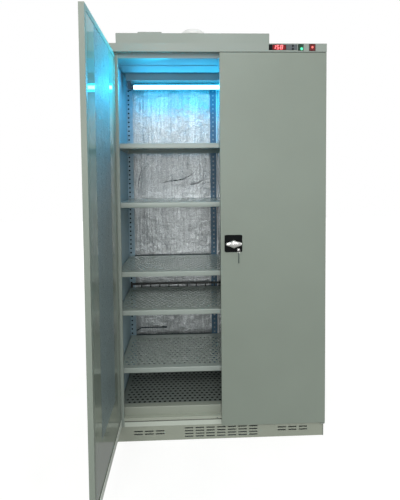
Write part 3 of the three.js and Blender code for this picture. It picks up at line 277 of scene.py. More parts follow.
SMOOTH_BELOW = math.radians(32)
BEVEL_ABOVE = math.radians(40)
WELD_WITHIN = 1e-5


def smooth_by_angle():
    """A modifier group that shades smooth wherever two faces meet at less than SMOOTH_BELOW."""
    group = bpy.data.node_groups.new("smooth_by_angle", "GeometryNodeTree")
    group.interface.new_socket("Geometry", in_out="INPUT", socket_type="NodeSocketGeometry")
    group.interface.new_socket("Geometry", in_out="OUTPUT", socket_type="NodeSocketGeometry")
    nodes = group.nodes
    geometry = nodes.new("NodeGroupInput").outputs["Geometry"]
    faces = fill(group, nodes.new("GeometryNodeSetShadeSmooth"), Geometry=geometry)
    angle = nodes.new("GeometryNodeInputMeshEdgeAngle").outputs["Unsigned Angle"]
    sharp = nodes.new("FunctionNodeCompare")
    sharp.operation = "GREATER_THAN"
    fill(group, sharp, A=angle, B=SMOOTH_BELOW)
    edges = nodes.new("GeometryNodeSetShadeSmooth")
    edges.domain = "EDGE"
    fill(group, edges, Geometry=faces.outputs["Geometry"], Selection=sharp.outputs["Result"],
         Shade_Smooth=False)
    fill(group, nodes.new("NodeGroupOutput"), Geometry=edges.outputs["Geometry"])
    return group


SMOOTH = smooth_by_angle()


def dress_node(name, look, edge):
    """A CAD node keeps its shape: it gets its material and slightly broken edges."""
    node = frame["nodes"][name]
    node.data.materials.clear()
    node.data.materials.append(look)
    if "custom_normal" in node.data.attributes:
        node.data.attributes.remove(node.data.attributes["custom_normal"])
    node.modifiers.new("weld", "WELD").merge_threshold = WELD_WITHIN
    node.modifiers.new("smooth", "NODES").node_group = SMOOTH
    bevel = node.modifiers.new("edge", "BEVEL")
    bevel.width = edge * MM
    bevel.segments = 2
    bevel.limit_method = "ANGLE"
    bevel.angle_limit = BEVEL_ABOVE
    bevel.harden_normals = True


def mesh_of(name, bm, *looks):
    """Turns a shape drawn in millimetres into a mesh in metres."""
    bmesh.ops.recalc_face_normals(bm, faces=bm.faces)
    mesh = bpy.data.meshes.new(name)
    bm.to_mesh(mesh)
    bm.free()
    mesh.transform(Matrix.Scale(MM, 4))
    for look in looks:
        mesh.materials.append(look)
    return mesh


def place(name, mesh, body, replaces=(), at=(0, 0, 0)):
    """Shows a mesh as a piece that rides on a body."""
    mesh.shade_smooth()
    mesh.set_sharp_from_angle(angle=SMOOTH_BELOW)
    obj = bpy.data.objects.new(name, mesh)
    bpy.context.scene.collection.objects.link(obj)
    obj.location = Vector(at) * MM
    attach(obj, body)
    if replaces:
        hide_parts(*replaces)


def piece(name, bm, body, slot, replaces=(), look=None):
    """A piece drawn in millimetres, with its slot's own look if no other is given."""
    place(name, mesh_of(name, bm, look or LOOKS[slot]), body, replaces)


def box_piece(name, xs, ys, zs, edge, slot, body="cabinet", look=None, segments=2):
    """A piece that is a single block."""
    bm = bmesh.new()
    add_box(bm, xs, ys, zs, edge, segments)
    piece(name, bm, body, slot, look=look)


def bevel_all(bm, width, segments=2):
    bmesh.ops.bevel(bm, geom=bm.edges, offset=width, segments=segments, affect="EDGES", profile=0.5)


def add_box(bm, xs, ys, zs, edge=0.0, segments=2):
    """A block between two corners, with rounded edges if asked."""
    part = bmesh.new()
    bmesh.ops.create_cube(part, size=1.0)
    centre = Vector([(a + b) / 2 for a, b in (xs, ys, zs)])
    size = Vector([abs(b - a) for a, b in (xs, ys, zs)])
    for vertex in part.verts:
        vertex.co = centre + Vector([c * s for c, s in zip(vertex.co, size)])
    if edge:
        bevel_all(part, edge, segments)
    merge(bm, part)


def add_frame(bm, xs, ys, zs, bars, edge):
    """Four bars inside a rectangle in X and Z: bars is how wide the upright and the level ones are."""
    (x0, x1), (z0, z1), (upright, level) = xs, zs, bars
    for bar_xs, bar_zs in ((xs, (z0, z0 + level)), (xs, (z1 - level, z1)),
                           ((x0, x0 + upright), zs), ((x1 - upright, x1), zs)):
        add_box(bm, bar_xs, ys, bar_zs, edge)


def merge(bm, part):
    """Moves what is in part into bm."""
    mesh = bpy.data.meshes.new("part")
    part.to_mesh(mesh)
    part.free()
    bm.from_mesh(mesh)
    bpy.data.meshes.remove(mesh)


def add_prism(bm, outline, low, high, axes):
    """An outline of 2D points drawn along two axes, given length along the third from low to high."""
    first, second, along = ("xyz".index(a) for a in axes)

    def point(u, v, w):
        co = [0.0, 0.0, 0.0]
        co[first], co[second], co[along] = u, v, w
        return bm.verts.new(co)

    near = [point(u, v, low) for u, v in outline]
    far = [point(u, v, high) for u, v in outline]
    bm.faces.new(near)
    bm.faces.new(far[::-1])
    for i in range(len(outline)):
        j = (i + 1) % len(outline)
        bm.faces.new((near[i], far[i], far[j], near[j]))


def turns(steps):
    """The angles that divide a full turn into steps."""
    return [2 * math.pi * k / steps for k in range(steps)]


def turned_point(bm, centre, axis, offset, radius, angle):
    """A point at an offset along an axis through centre, and at a radius and an angle about it."""
    along = "xyz".index(axis)
    first, second = (i for i in range(3) if i != along)
    co = list(centre)
    co[along] += offset
    co[first] += radius * math.cos(angle)
    co[second] += radius * math.sin(angle)
    return bm.verts.new(co)


def join_rings(bm, rings):
    """Faces from each ring of points to the next. A ring may be a single point."""
    for a, b in zip(rings, rings[1:]):
        steps = max(len(a), len(b))
        for k in range(steps):
            m = (k + 1) % steps
            if len(a) == 1:
                bm.faces.new((a[0], b[k], b[m]))
            elif len(b) == 1:
                bm.faces.new((a[k], a[m], b[0]))
            else:
                bm.faces.new((a[k], a[m], b[m], b[k]))


def close_ends(bm, rings):
    bm.faces.new(rings[0][::-1])
    bm.faces.new(rings[-1])


def add_turned(bm, profile, centre, axis, steps=48):
    """A closed turned shape: profile is (distance along the axis, radius), starting and ending on it."""
    rings = []
    for offset, radius in profile:
        angles = turns(steps if radius else 1)
        rings.append([turned_point(bm, centre, axis, offset, radius, angle) for angle in angles])
    join_rings(bm, rings)


def add_hoop(bm, centre, axis, radii, levels, steps):
    """A ring of square section about an axis, between two radii and two levels."""
    (inner, outer), (low, high) = radii, levels
    corners = ((inner, low), (outer, low), (outer, high), (inner, high))
    loops = [[turned_point(bm, centre, axis, w, r, angle) for r, w in corners] for angle in turns(steps)]
    join_rings(bm, loops + loops[:1])


def add_tube(bm, path, radius, steps=12):
    """A round wire along a path of points, with flat ends. Its radius may change from 0 to 1 along it."""
    rings = []
    for i, point in enumerate(path):
        ahead = Vector(path[min(i + 1, len(path) - 1)])
        behind = Vector(path[max(i - 1, 0)])
        turn = (ahead - behind).to_track_quat("Z", "Y")
        r = radius(i / (len(path) - 1)) if callable(radius) else radius
        spokes = [Vector((r * math.cos(angle), r * math.sin(angle), 0)) for angle in turns(steps)]
        rings.append([bm.verts.new(Vector(point) + turn @ spoke) for spoke in spokes])
    join_rings(bm, rings)
    close_ends(bm, rings)


def arc(centre, radius, start, end, steps):
    """Points on an arc, from one angle to another in degrees."""
    angles = [math.radians(start + (end - start) * k / steps) for k in range(steps + 1)]
    return [(centre[0] + radius * math.cos(a), centre[1] + radius * math.sin(a)) for a in angles]


def circle(centre, radius, steps):
    """Points round a circle, anticlockwise from its right."""
    return [(centre[0] + radius * math.cos(a), centre[1] + radius * math.sin(a)) for a in turns(steps)]


def eight_points(u0, u1, v0, v1):
    """The corners and the middles of the sides of a rectangle, anticlockwise from its right."""
    um, vm = (u0 + u1) / 2, (v0 + v1) / 2
    return [(u1, vm), (u1, v1), (um, v1), (u0, v1), (u0, vm), (u0, v0), (um, v0), (u1, v0)]


class Sheet:
    """A flat sheet with holes. It is drawn in two directions and then given its thickness."""

    def __init__(self):
        self.points = {}
        self.faces = []

    def add(self, *points):
        """A face between points, which it shares with its neighbours."""
        keys = [(round(u, 3), round(v, 3)) for u, v in points]
        self.faces.append([self.points.setdefault(k, len(self.points)) for k in keys])

    def rect(self, u0, u1, v0, v1):
        self.add((u0, v0), (u1, v0), (u1, v1), (u0, v1))

    def ring(self, border, hole):
        """Faces from the points of a border to as many points of a hole."""
        for i in range(len(border)):
            j = (i + 1) % len(border)
            self.add(border[i], border[j], hole[j], hole[i])

    def holed(self, u0, u1, v0, v1, hole):
        """A rectangle with a hole of eight points, anticlockwise from its right."""
        self.ring(eight_points(u0, u1, v0, v1), hole)

    def fine_hole(self, u0, u1, v0, v1, radius):
        """A rectangle with a round hole of twelve sides in its middle."""
        um, vm, q = (u0 + u1) / 2, (v0 + v1) / 2, (u1 - u0) / 4
        border = [(u1, vm), (u1, v1), (um + q, v1), (um, v1), (um - q, v1), (u0, v1),
                  (u0, vm), (u0, v0), (um - q, v0), (um, v0), (um + q, v0), (u1, v0)]
        self.ring(border, circle((um, vm), radius, 12))

    def solid(self, bm, to_space, low, high):
        """Adds the sheet between two levels. to_space turns (u, v, level) into a point."""
        order = sorted(self.points, key=self.points.get)
        near = [bm.verts.new(to_space(u, v, low)) for u, v in order]
        far = [bm.verts.new(to_space(u, v, high)) for u, v in order]
        edges = {}
        for face in self.faces:
            bm.faces.new([near[i] for i in reversed(face)])
            bm.faces.new([far[i] for i in face])
            for a, b in zip(face, face[1:] + face[:1]):
                edges[(a, b)] = True
        for a, b in edges:
            if (b, a) not in edges:
                bm.faces.new((near[a], near[b], far[b], far[a]))


# ---------- shelves and tray ----------

DECKS = ("shelf_1", "shelf_2", "shelf_3", "shelf_4", "shelf_5", "bottom_tray")
DECK_SHEET = 1.2
HOLE_PITCH = 25.0
HOLE_RADIUS = 7.0
ROW_PITCH = 21.65
HOLE_ROWS = 14
FIELD_HALF = 475.0
FIELD_FROM_FRONT = 29.7
FOLD_RADIUS = 3.0
LIP_RADIUS = 1.5
LIP_DEPTH = 8.0
UPSTAND = {"height": 27.0, "width": 46.0, "slot": 13.0, "rise": 1.5, "pitch": 53.0}


def add_perforated(sheet, front):
    """Rows of round holes, each row shifted by half a pitch from the last."""
    half = HOLE_PITCH / 2
    for row in range(HOLE_ROWS):
        v0, v1 = front + row * ROW_PITCH, front + (row + 1) * ROW_PITCH
        vm = (v0 + v1) / 2
        left, columns = -FIELD_HALF, int(2 * FIELD_HALF / HOLE_PITCH)
        if row % 2 == 0:
            for u0 in (-FIELD_HALF, FIELD_HALF - half):
                um, u1 = u0 + half / 2, u0 + half
                sheet.add((u0, v0), (um, v0), (u1, v0), (u1, vm), (u1, v1), (um, v1), (u0, v1), (u0, vm))
            left, columns = left + half, columns - 1
        for column in range(columns):
            u0 = left + column * HOLE_PITCH
            sheet.fine_hole(u0, u0 + HOLE_PITCH, v0, v1, HOLE_RADIUS)


def add_front_fold(bm, half_length, front, margin_end, height):
    """The deck's front margin, rolled down into its flange, with a lip turned back below."""
    bend, lip, foot = FOLD_RADIUS, LIP_RADIUS, -height + DECK_SHEET
    outer = [(margin_end, 0.0)] + arc((front + bend, -bend), bend, 90, 180, 5)
    outer += arc((front + lip, -height + lip), lip, 180, 270, 3) + [(front + LIP_DEPTH, -height)]
    inner = [(front + LIP_DEPTH, foot), (front + lip, foot), (front + DECK_SHEET, foot + 1)]
    inner += arc((front + bend, -bend), bend - DECK_SHEET, 180, 90, 5) + [(margin_end, -DECK_SHEET)]
    add_prism(bm, outer + inner, -half_length, half_length, "yzx")


def deck_mesh(name, node, look, fold_look):
    """A folded perforated deck with its top at level 0, as wide and as deep as a node."""
    low, high = box_mm(node)
    height = high.z - low.z
    inner, rear = high.x - DECK_SHEET, high.y - DECK_SHEET
    front = low.y + FIELD_FROM_FRONT
    field_end = front + HOLE_ROWS * ROW_PITCH
    sheet = Sheet()
    add_perforated(sheet, front)
    for u0, u1 in ((-inner, -FIELD_HALF), (FIELD_HALF, inner)):
        for half_row in range(2 * HOLE_ROWS):
            v0 = front + half_row * ROW_PITCH / 2
            sheet.rect(u0, u1, v0, v0 + ROW_PITCH / 2)
    step = HOLE_PITCH / 4
    us = [-inner] + [-FIELD_HALF + k * step for k in range(int(2 * FIELD_HALF / step) + 1)] + [inner]
    for u0, u1 in zip(us, us[1:]):
        sheet.rect(u0, u1, field_end, rear)
    bm = bmesh.new()
    sheet.solid(bm, lambda u, v, w: (u, v, w), -DECK_SHEET, 0)
    add_front_fold(bm, high.x, low.y, front, height)
    for xs in ((-high.x, -inner), (inner, high.x)):
        add_box(bm, xs, (low.y + FOLD_RADIUS, high.y), (-height, 0), 0.3, 1)
    add_box(bm, (-inner, inner), (rear, high.y), (-height, 0), 0.3, 1)
    mesh = mesh_of(name, bm, look, fold_look)
    # The front margin and fold take fold_look, which make_decks gives as a darker copy of the deck paint, painted
    # shade
    for face in mesh.polygons:
        face.material_index = int(face.center.y < (front - 1) * MM)
    return mesh


def make_decks():
    # Each shelf's fold is the shelf paint made darker, painted shade; the tray is that paint at half brightness,
    # painted shade of the deep bottom compartment, and its fold a darker, warmer copy, also painted shade
    plain = deck_mesh("shelf_deck", "shelf_1", LOOKS["painted_shelf"],
                      painted("shelf_fold_shade_paint", scaled(LIGHT_PAINT, 0.92), 0.3))
    tray = deck_mesh("tray_deck", "bottom_tray", painted("tray_shade_paint", scaled(LIGHT_PAINT, 0.5), 0.5),
                     painted("tray_fold_shade_paint", srgb(156, 162, 150), 0.4))
    for node in DECKS:
        top = box_mm(node)[1].z - (UPSTAND["height"] if node == "shelf_4" else 0)
        deck = tray if node == "bottom_tray" else plain
        place(f"perforated_{node}", deck, "cabinet", (node,), (0, 0, top))


def make_upstand():
    """The slotted upstand on the rear edge of the fourth shelf."""
    high = box_mm("shelf_4")[1]
    inner = high.x - DECK_SHEET
    pitch = UPSTAND["pitch"]
    bottom = high.z - UPSTAND["height"]
    middle = bottom + UPSTAND["rise"] + UPSTAND["slot"] / 2
    slot_top = 2 * middle - bottom
    du, dv = UPSTAND["width"] / 2, UPSTAND["slot"] / 2
    count = int(2 * inner // pitch)
    left = -count * pitch / 2
    sheet = Sheet()
    for k in range(count):
        u0, u1 = left + k * pitch, left + (k + 1) * pitch
        um = (u0 + u1) / 2
        sheet.holed(u0, u1, bottom, slot_top, eight_points(um - du, um + du, middle - dv, middle + dv))
        sheet.rect(u0, um, slot_top, high.z)
        sheet.rect(um, u1, slot_top, high.z)
    for u0, u1 in ((-inner, left), (-left, inner)):
        for v0, v1 in ((bottom, middle), (middle, slot_top), (slot_top, high.z)):
            sheet.rect(u0, u1, v0, v1)
    bm = bmesh.new()
    sheet.solid(bm, lambda u, v, w: (u, w, v), high.y - DECK_SHEET, high.y)
    # The upstand's steel is made dark as painted shade: it stands in the shadow of the shelf above
    shaded_look = metal("upstand_shade_steel", srgb(62, 64, 62), 0.5, (40, 500, 500), 0.2, 0.6)
    piece("shelf_4_upstand", bm, "cabinet", "zinc", look=shaded_look)


def make_rear_shade_strips():
    """A dark strip at the rear edge of two shelves, painted shade for the gap there between shelf and foil."""
    left, right = box_mm("upright_left")[1].x + 1, box_mm("upright_centre")[0].x - 1
    bm = bmesh.new()
    for node in ("shelf_3", "shelf_5"):
        high = box_mm(node)[1]
        add_box(bm, (left, right), (high.y - 2.2, high.y - 0.4), (high.z + 0.1, high.z + 4.0), 0.4, 1)
    piece("rear_gap_shade_strips", bm, "cabinet", "dark_rubber")


def make_tray_shade_sheet():
    """A dark sheet under the tray, painted shade that shows through its holes."""
    low, high = box_mm("bottom_tray")
    box_piece("tray_painted_shade_sheet", (low.x + 3, high.x - 3), (low.y + 10, high.y - 3),
              (high.z - 9, high.z - 7), 0.4, "black_plastic", segments=1)


make_decks()
make_upstand()
make_rear_shade_strips()
make_tray_shade_sheet()


# ---------- rear uprights ----------

UPRIGHT_HOLE_PITCH = 25.0
UPRIGHT_HOLE_RADIUS = 5.2
UPRIGHT_HOLE_INSET = 11.0
UPRIGHT_DEPTH = 15.7
UPRIGHT_SHEET = 1.5
HOOK_REACH = 14.0
HOOK_WIDTH = 15.0
HOOK_THICKNESS = 3.0
HANG_GAP = 0.3
HANG_LEVELS = [box_mm(node)[0].z for node in DECKS]


def make_upright(name, side, look):
    """A folded strip with a column of round holes. side says which edge the holes are near."""
    low, high = box_mm(name)
    front = high.y - UPRIGHT_DEPTH
    inside = front + UPRIGHT_SHEET
    middle = (low.x + high.x) / 2
    hole_x = {-1: low.x + UPRIGHT_HOLE_INSET, 0: middle, 1: high.x - UPRIGHT_HOLE_INSET}[side]
    half = min(hole_x - low.x, high.x - hole_x)
    u0, u1 = hole_x - half, hole_x + half
    count = int((high.z - low.z) // UPRIGHT_HOLE_PITCH)
    top = low.z + count * UPRIGHT_HOLE_PITCH
    sheet = Sheet()
    for k in range(count):
        v0 = low.z + k * UPRIGHT_HOLE_PITCH
        v1 = v0 + UPRIGHT_HOLE_PITCH
        vm = (v0 + v1) / 2
        sheet.holed(u0, u1, v0, v1, circle((hole_x, vm), UPRIGHT_HOLE_RADIUS, 8))
        for a, b in ((low.x, u0), (u1, high.x)):
            if b - a > 0.1:
                sheet.rect(a, b, v0, vm)
                sheet.rect(a, b, vm, v1)
    bm = bmesh.new()
    sheet.solid(bm, lambda u, v, w: (u, w, v), front, inside)
    for x in (low.x, high.x - UPRIGHT_SHEET):
        add_box(bm, (x, x + UPRIGHT_SHEET), (inside, high.y), (low.z, top), 0.3, 1)
    hook_xs = (middle - HOOK_WIDTH / 2, middle + HOOK_WIDTH / 2)
    for level in HANG_LEVELS:
        zs = (level - HANG_GAP - HOOK_THICKNESS, level - HANG_GAP)
        add_box(bm, hook_xs, (front - HOOK_REACH, front + 0.5), zs, 0.5)
    piece(f"slotted_{name}", bm, "cabinet", "zinc", (name,), look)
    # A sheet just behind the holes shows through them: black behind the side uprights, painted shade, and zinc
    # behind the centre one, painted light
    box_piece(f"{name}_painted_hole_backing", (low.x + 2, high.x - 2), (inside + 0.5, inside + 3), (low.z + 2, top - 2),
              0.4, "black_plastic" if side else "zinc", segments=1)


def make_seam_cover():
    """The pale strip beside the centre upright that covers the seam of the foil."""
    low, high = box_mm("upright_centre")
    box_piece("foil_seam_cover", (high.x + 1.5, high.x + 8.5), (high.y - 10, high.y - 0.4),
              (low.z + 1, high.z - 1), 0.8, "white_plastic")


SIDE_ZINC = zinc("zinc_side", srgb(150, 174, 186))
make_upright("upright_left", -1, SIDE_ZINC)
# The centre upright's zinc is darker and bluer than the side ones: painted shade of the closed right door, with
# painted blue lamp light
make_upright("upright_centre", 0, zinc("zinc_centre_shaded", srgb(76, 106, 126), 0.45))
make_upright("upright_right", 1, SIDE_ZINC)
make_seam_cover()


# ---------- foil ----------

FOIL_STEP = 7.5
FOIL_DEPTH = 2.4
DOOR_FOIL_INSET = (20.3, 10.3)
DOOR_FOIL_SINK = 1.0
CREASES = (
    ((-300, 1236), (-259, 1248), (-214, 1252), (-173, 1260), (-144, 1275), (-103, 1302)),
    ((-440, 1195), (-431, 1256), (-415, 1326)),
    ((-150, 1222), (-92, 1236), (-39, 1264)),
)
CREASE_WIDTH = 9.0
CREASE_POINTS = 6


def crease_height(u, v, lines):
    """How deep the nearest long crease cuts in at a point, from 0 to 1."""
    point = Vector((u, v))
    nearest = 1000.0
    for line in lines:
        for a, b in zip(line, line[1:]):
            a, b = Vector(a), Vector(b)
            along = max(0.0, min(1.0, (point - a).dot(b - a) / (b - a).length_squared))
            nearest = min(nearest, (point - a - along * (b - a)).length)
    return max(0.0, 1 - nearest / CREASE_WIDTH)


def foil_height(u, v, seed, creases):
    """How far the foil stands off its backing at a point, in millimetres from 0 to FOIL_DEPTH."""
    drag = noise.noise(Vector((u / 40, v / 240, seed)))
    dents = noise.noise(Vector((u / 30, v / 36, seed + 3)))
    fine = noise.noise(Vector((u / 11, v / 12, seed + 5)))
    mixed = 0.5 + 0.3 * drag + 0.35 * dents + 0.45 * fine - 0.9 * crease_height(u, v, creases)
    return FOIL_DEPTH * max(0.0, min(1.0, mixed))


def make_foil(name, node, us, vs, to_space, backing, body, seed, creases=()):
    """A crinkled sheet over a flat back, as one closed piece."""
    bm = bmesh.new()
    columns = max(2, round((us[1] - us[0]) / FOIL_STEP))
    rows = max(2, round((vs[1] - vs[0]) / FOIL_STEP))
    across = [us[0] + (us[1] - us[0]) * i / columns for i in range(columns + 1)]
    upward = [vs[0] + (vs[1] - vs[0]) * j / rows for j in range(rows + 1)]
    grid = [[bm.verts.new(to_space(u, v, foil_height(u, v, seed, creases))) for v in upward] for u in across]
    for i in range(columns):
        for j in range(rows):
            bm.faces.new((grid[i][j], grid[i + 1][j], grid[i + 1][j + 1], grid[i][j + 1]))
    rim = [grid[i][0] for i in range(columns + 1)]
    rim += [grid[columns][j] for j in range(1, rows + 1)]
    rim += [grid[i][rows] for i in range(columns - 1, -1, -1)]
    rim += [grid[0][j] for j in range(rows - 1, 0, -1)]
    corners = [(us[0], vs[0]), (us[1], vs[0]), (us[1], vs[1]), (us[0], vs[1])]
    back = [bm.verts.new(to_space(u, v, backing)) for u, v in corners]
    stops = [0, columns, columns + rows, 2 * columns + rows, len(rim)]
    for k in range(4):
        run = [rim[i % len(rim)] for i in range(stops[k], stops[k + 1] + 1)]
        bm.faces.new(run + [back[(k + 1) % 4], back[k]])
    bm.faces.new(back)
    piece(name, bm, body, "foil", (node,), LOOKS["foil" if body == "cabinet" else "door_foil"])


def make_foils():
    """The foil of the back and of both doors. The left door stands open, so its foil faces +X."""
    low, high = box_mm("back_liner")
    make_foil("back_foil", "back_liner", (low.x, high.x), (low.z, high.z),
              lambda u, v, w: (u, low.y + FOIL_DEPTH - w, v), -4.0, "cabinet", 1.0, CREASES)
    inset, end_inset = DOOR_FOIL_INSET
    low, high = box_mm("left_door_foil")
    make_foil("left_door_crinkle", "left_door_foil", (low.y + inset, high.y - inset),
              (low.z + end_inset, high.z - end_inset),
              lambda u, v, w: (high.x - DOOR_FOIL_SINK + w, u, v), -6.0, "left_door", 11.0)
    low, high = box_mm("right_door_foil")
    make_foil("right_door_crinkle", "right_door_foil", (low.x + inset, high.x - inset),
              (low.z + end_inset, high.z - end_inset),
              lambda u, v, w: (u, high.y - DOOR_FOIL_SINK + w, v), -6.0, "right_door", 17.0)


def make_creases():
    """The long folds that stand up from the back foil, thickest in their middle."""
    low, _ = box_mm("back_liner")
    bm = bmesh.new()
    for line in CREASES:
        path = []
        for (u0, v0), (u1, v1) in zip(line, line[1:]):
            for t in (k / CREASE_POINTS for k in range(CREASE_POINTS)):
                u, v = u0 + (u1 - u0) * t, v0 + (v1 - v0) * t
                path.append((u, low.y + 1.2 + 0.8 * noise.noise(Vector((u / 14, v / 14, 0))), v))
        add_tube(bm, path, lambda t: 0.5 + 3.2 * math.sin(math.pi * t), 10)
    silver = metal("crease_foil", srgb(150, 153, 155), 0.28, (60, 60, 60), 0.2)
    piece("foil_creases", bm, "cabinet", "foil", look=silver)


make_foils()
make_creases()


# ---------- lamp ----------

CAP_LENGTH = 16.0
CAP_EDGE = 1.5
GLASS_EDGE = 2.0
TUBE_STEPS = 32


def make_lamp():
    """The glass tube, and the two caps that its ends stand in."""
    low, high = box_mm("lamp_tube")
    centre = (low + high) / 2
    half, _, radius = (high - low) / 2
    glass = radius - 0.5
    end = half - CAP_LENGTH + 3
    profile = [(-end, 0), (-end, glass - GLASS_EDGE), (-end + GLASS_EDGE, glass),
               (end - GLASS_EDGE, glass), (end, glass - GLASS_EDGE), (end, 0)]
    bm = bmesh.new()
    add_turned(bm, profile, centre, "x", TUBE_STEPS)
    piece("lamp_tube_glass", bm, "cabinet", "lamp_glass", ("lamp_tube",))
    bm = bmesh.new()
    for side in (-1, 1):
        near, far = side * (half - CAP_LENGTH), side * half
        profile = [(near, 0), (near, radius), (far - side * CAP_EDGE, radius), (far, radius - CAP_EDGE),
                   (far, 0)]
        add_turned(bm, profile, centre, "x", TUBE_STEPS)
    piece("lamp_end_caps", bm, "cabinet", "zinc", look=LOOKS["grey_plastic"])


make_lamp()


# ---------- controls ----------

SEGMENTS = {"1": "bc", "5": "acdfg", "8": "abcdefg"}
DIGIT = {"width": 12.6, "height": 19.0, "bar": 2.7, "pitch": 17.0, "slant": 0.12}
DIGITS_FROM_RIGHT = 10.0
DISPLAY_RIM = 1.8
ROCKER_HALF = {"rocker_green": 13.4, "rocker_red": 14.4}
ROCKER_TILT = 0.14


def add_digit(bm, shape, left, bottom, face):
    """One number of a seven-segment display, slanted as such displays are."""
    w, h, t = DIGIT["width"], DIGIT["height"], DIGIT["bar"]
    bars = {
        "a": ((t * 0.6, h - t), (w - t * 0.6, h)),
        "b": ((w - t, h / 2 + 0.3), (w, h - 0.6)),
        "c": ((w - t, 0.6), (w, h / 2 - 0.3)),
        "d": ((t * 0.6, 0), (w - t * 0.6, t)),
        "e": ((0, 0.6), (t, h / 2 - 0.3)),
        "f": ((0, h / 2 + 0.3), (t, h - 0.6)),
        "g": ((t * 0.6, h / 2 - t / 2), (w - t * 0.6, h / 2 + t / 2)),
    }
    for letter in SEGMENTS[shape]:
        (x0, z0), (x1, z1) = bars[letter]
        outline = [(left + x + DIGIT["slant"] * z, bottom + z)
                   for x, z in ((x0, z0), (x1, z0), (x1, z1), (x0, z1))]
        add_prism(bm, outline, face - 0.25, face + 0.3, "xzy")


def make_display():
    """A framed dark window, with a lens and lit digits in it."""
    low, high = box_mm("display_window")
    rim = DISPLAY_RIM
    bm = bmesh.new()
    add_box(bm, (low.x, high.x), (low.y + 1.0, high.y), (low.z, high.z), 0.4)
    add_frame(bm, (low.x, high.x), (low.y, low.y + 2), (low.z, high.z), (rim, rim), 0.4)
    piece("display_frame", bm, "cabinet", "black_plastic", ("display_window",))
    box_piece("display_lens", (low.x + rim + 15, high.x - rim), (low.y + 0.6, low.y + 1.4),
              (low.z + rim, high.z - rim), 0.2, "display_lens", segments=1)
    bm = bmesh.new()
    left = high.x - rim - DIGITS_FROM_RIGHT - 3 * DIGIT["pitch"]
    bottom = (low.z + high.z) / 2 - DIGIT["height"] / 2
    for k, shape in enumerate("158"):
        add_digit(bm, shape, left + k * DIGIT["pitch"], bottom, low.y + 0.55)
    glow = lit("display_digits", srgb(255, 80, 80), (1.0, 0.22, 0.24, 1.0), 1.7)
    piece("display_digits", bm, "cabinet", "display_lens", look=glow)


def make_rocker(name, slot, look):
    """A rocker with a dished two-slope face, and the frame it tilts in."""
    low, high = box_mm(name)
    pivot = HINGE[f"{name}_tilt"]
    across, half = (high.x - low.x) / 2, ROCKER_HALF[name]
    outline = [(-2.6, -half), (-2.2, -half + 1.2), (-1.3, 0), (-2.2, half - 1.2), (-2.6, half),
               (7, half * 0.6), (7, -half * 0.6)]
    bm = bmesh.new()
    add_prism(bm, outline, -across + 0.2, across - 0.2, "yzx")
    bevel_all(bm, 0.35)
    tilted = Matrix.Translation(pivot) @ Matrix.Rotation(ROCKER_TILT, 4, "X")
    bmesh.ops.transform(bm, matrix=tilted, verts=bm.verts)
    piece(f"{name}_cap", bm, name, slot, (name,), look)
    bm = bmesh.new()
    x, z = across + 1.8, half + 1.6
    add_frame(bm, (pivot.x - x, pivot.x + x), (pivot.y - 1.2, pivot.y - 0.05),
              (pivot.z - z, pivot.z + z), (0.9, 0.7), 0.35)
    piece(f"{name}_frame", bm, "cabinet", "black_plastic")


make_display()
make_rocker("rocker_green", "green_lens", rocker_look(
    "green_rocker", srgb(14, 62, 42), srgb(60, 220, 150), (0.1, 1.0, 0.5, 1), (382.0, 1855.5), 8.0, 1.6))
make_rocker("rocker_red", "red_lens", rocker_look(
    "red_rocker", srgb(112, 8, 14), srgb(250, 130, 120), (1.0, 0.16, 0.14, 1), (432.0, 1862.5), 6.5, 1.1))


# ---------- handle and lock ----------

GRIP_STATIONS = 40
GRIP_STEPS = 28
GRIP_CORE = 14.0
PLATE_RIM = 3.0
PLATE_CORNER = 7.0
KEY_FACE = 23.0
BOW_FROM_FACE = 14.0
RING_RADIUS = 7.0


def make_handle():
    """A wing grip cast in one with its domed hub, and the spindle that goes through the door."""
    low, high = box_mm("wing_handle")
    centre_x, centre_z = HINGE["handle_turn"].x, HINGE["handle_turn"].z
    half = (high.x - low.x) / 2
    core = low.y + GRIP_CORE
    bm = bmesh.new()
    rings = []
    for i in range(GRIP_STATIONS + 1):
        s = -1 + 2 * i / GRIP_STATIONS
        x = s * half
        dome = math.exp(-((x / 15.5) ** 2))
        wing = 10.0 - 1.6 * abs(s) ** 1.5 + (1.0 if s > 0 else 0.0) * abs(s)
        tip = math.sqrt(max(0.0, 1 - abs(s) ** 9))
        tall = (wing + 9.0 * dome) * tip
        bulge = (8.0 + 6.0 * dome) * (0.35 + 0.65 * tip)
        ring = []
        for angle in turns(GRIP_STEPS):
            z = tall * math.copysign(abs(math.sin(angle)) ** 0.8, math.sin(angle))
            depth = math.cos(angle)
            y = -bulge * abs(depth) ** 0.75 if depth > 0 else 4.0 * abs(depth) ** 0.8 * tip
            ring.append(bm.verts.new((centre_x + x, core + y, centre_z + z)))
        rings.append(ring)
    join_rings(bm, rings)
    close_ends(bm, rings)
    spindle = high.y - core
    profile = [(0, 0), (0, 15), (2, 17), (9.5, 19), (12, 19), (12, 5), (spindle, 5), (spindle, 0)]
    add_turned(bm, profile, (centre_x, core, centre_z), "y")
    piece("wing_grip", bm, "handle", "bright_steel", ("wing_handle",))


def make_handle_plate():
    """A plate with round corners, and a raised field inside its rim."""
    low, high = box_mm("handle_plate")
    bm = bmesh.new()
    for inset, y0, y1 in ((0.0, low.y + 0.8, high.y), (PLATE_RIM, low.y, low.y + 1.0)):
        r = PLATE_CORNER - inset
        left, right = low.x + inset + r, high.x - inset - r
        foot, top = low.z + inset + r, high.z - inset - r
        outline = []
        for k, corner in enumerate(((right, top), (left, top), (left, foot), (right, foot))):
            outline += arc(corner, r, 90 * k, 90 * k + 90, 6)
        add_prism(bm, outline, y0, y1, "xzy")
    piece("handle_escutcheon", bm, "right_door", "black_plastic", ("handle_plate",))


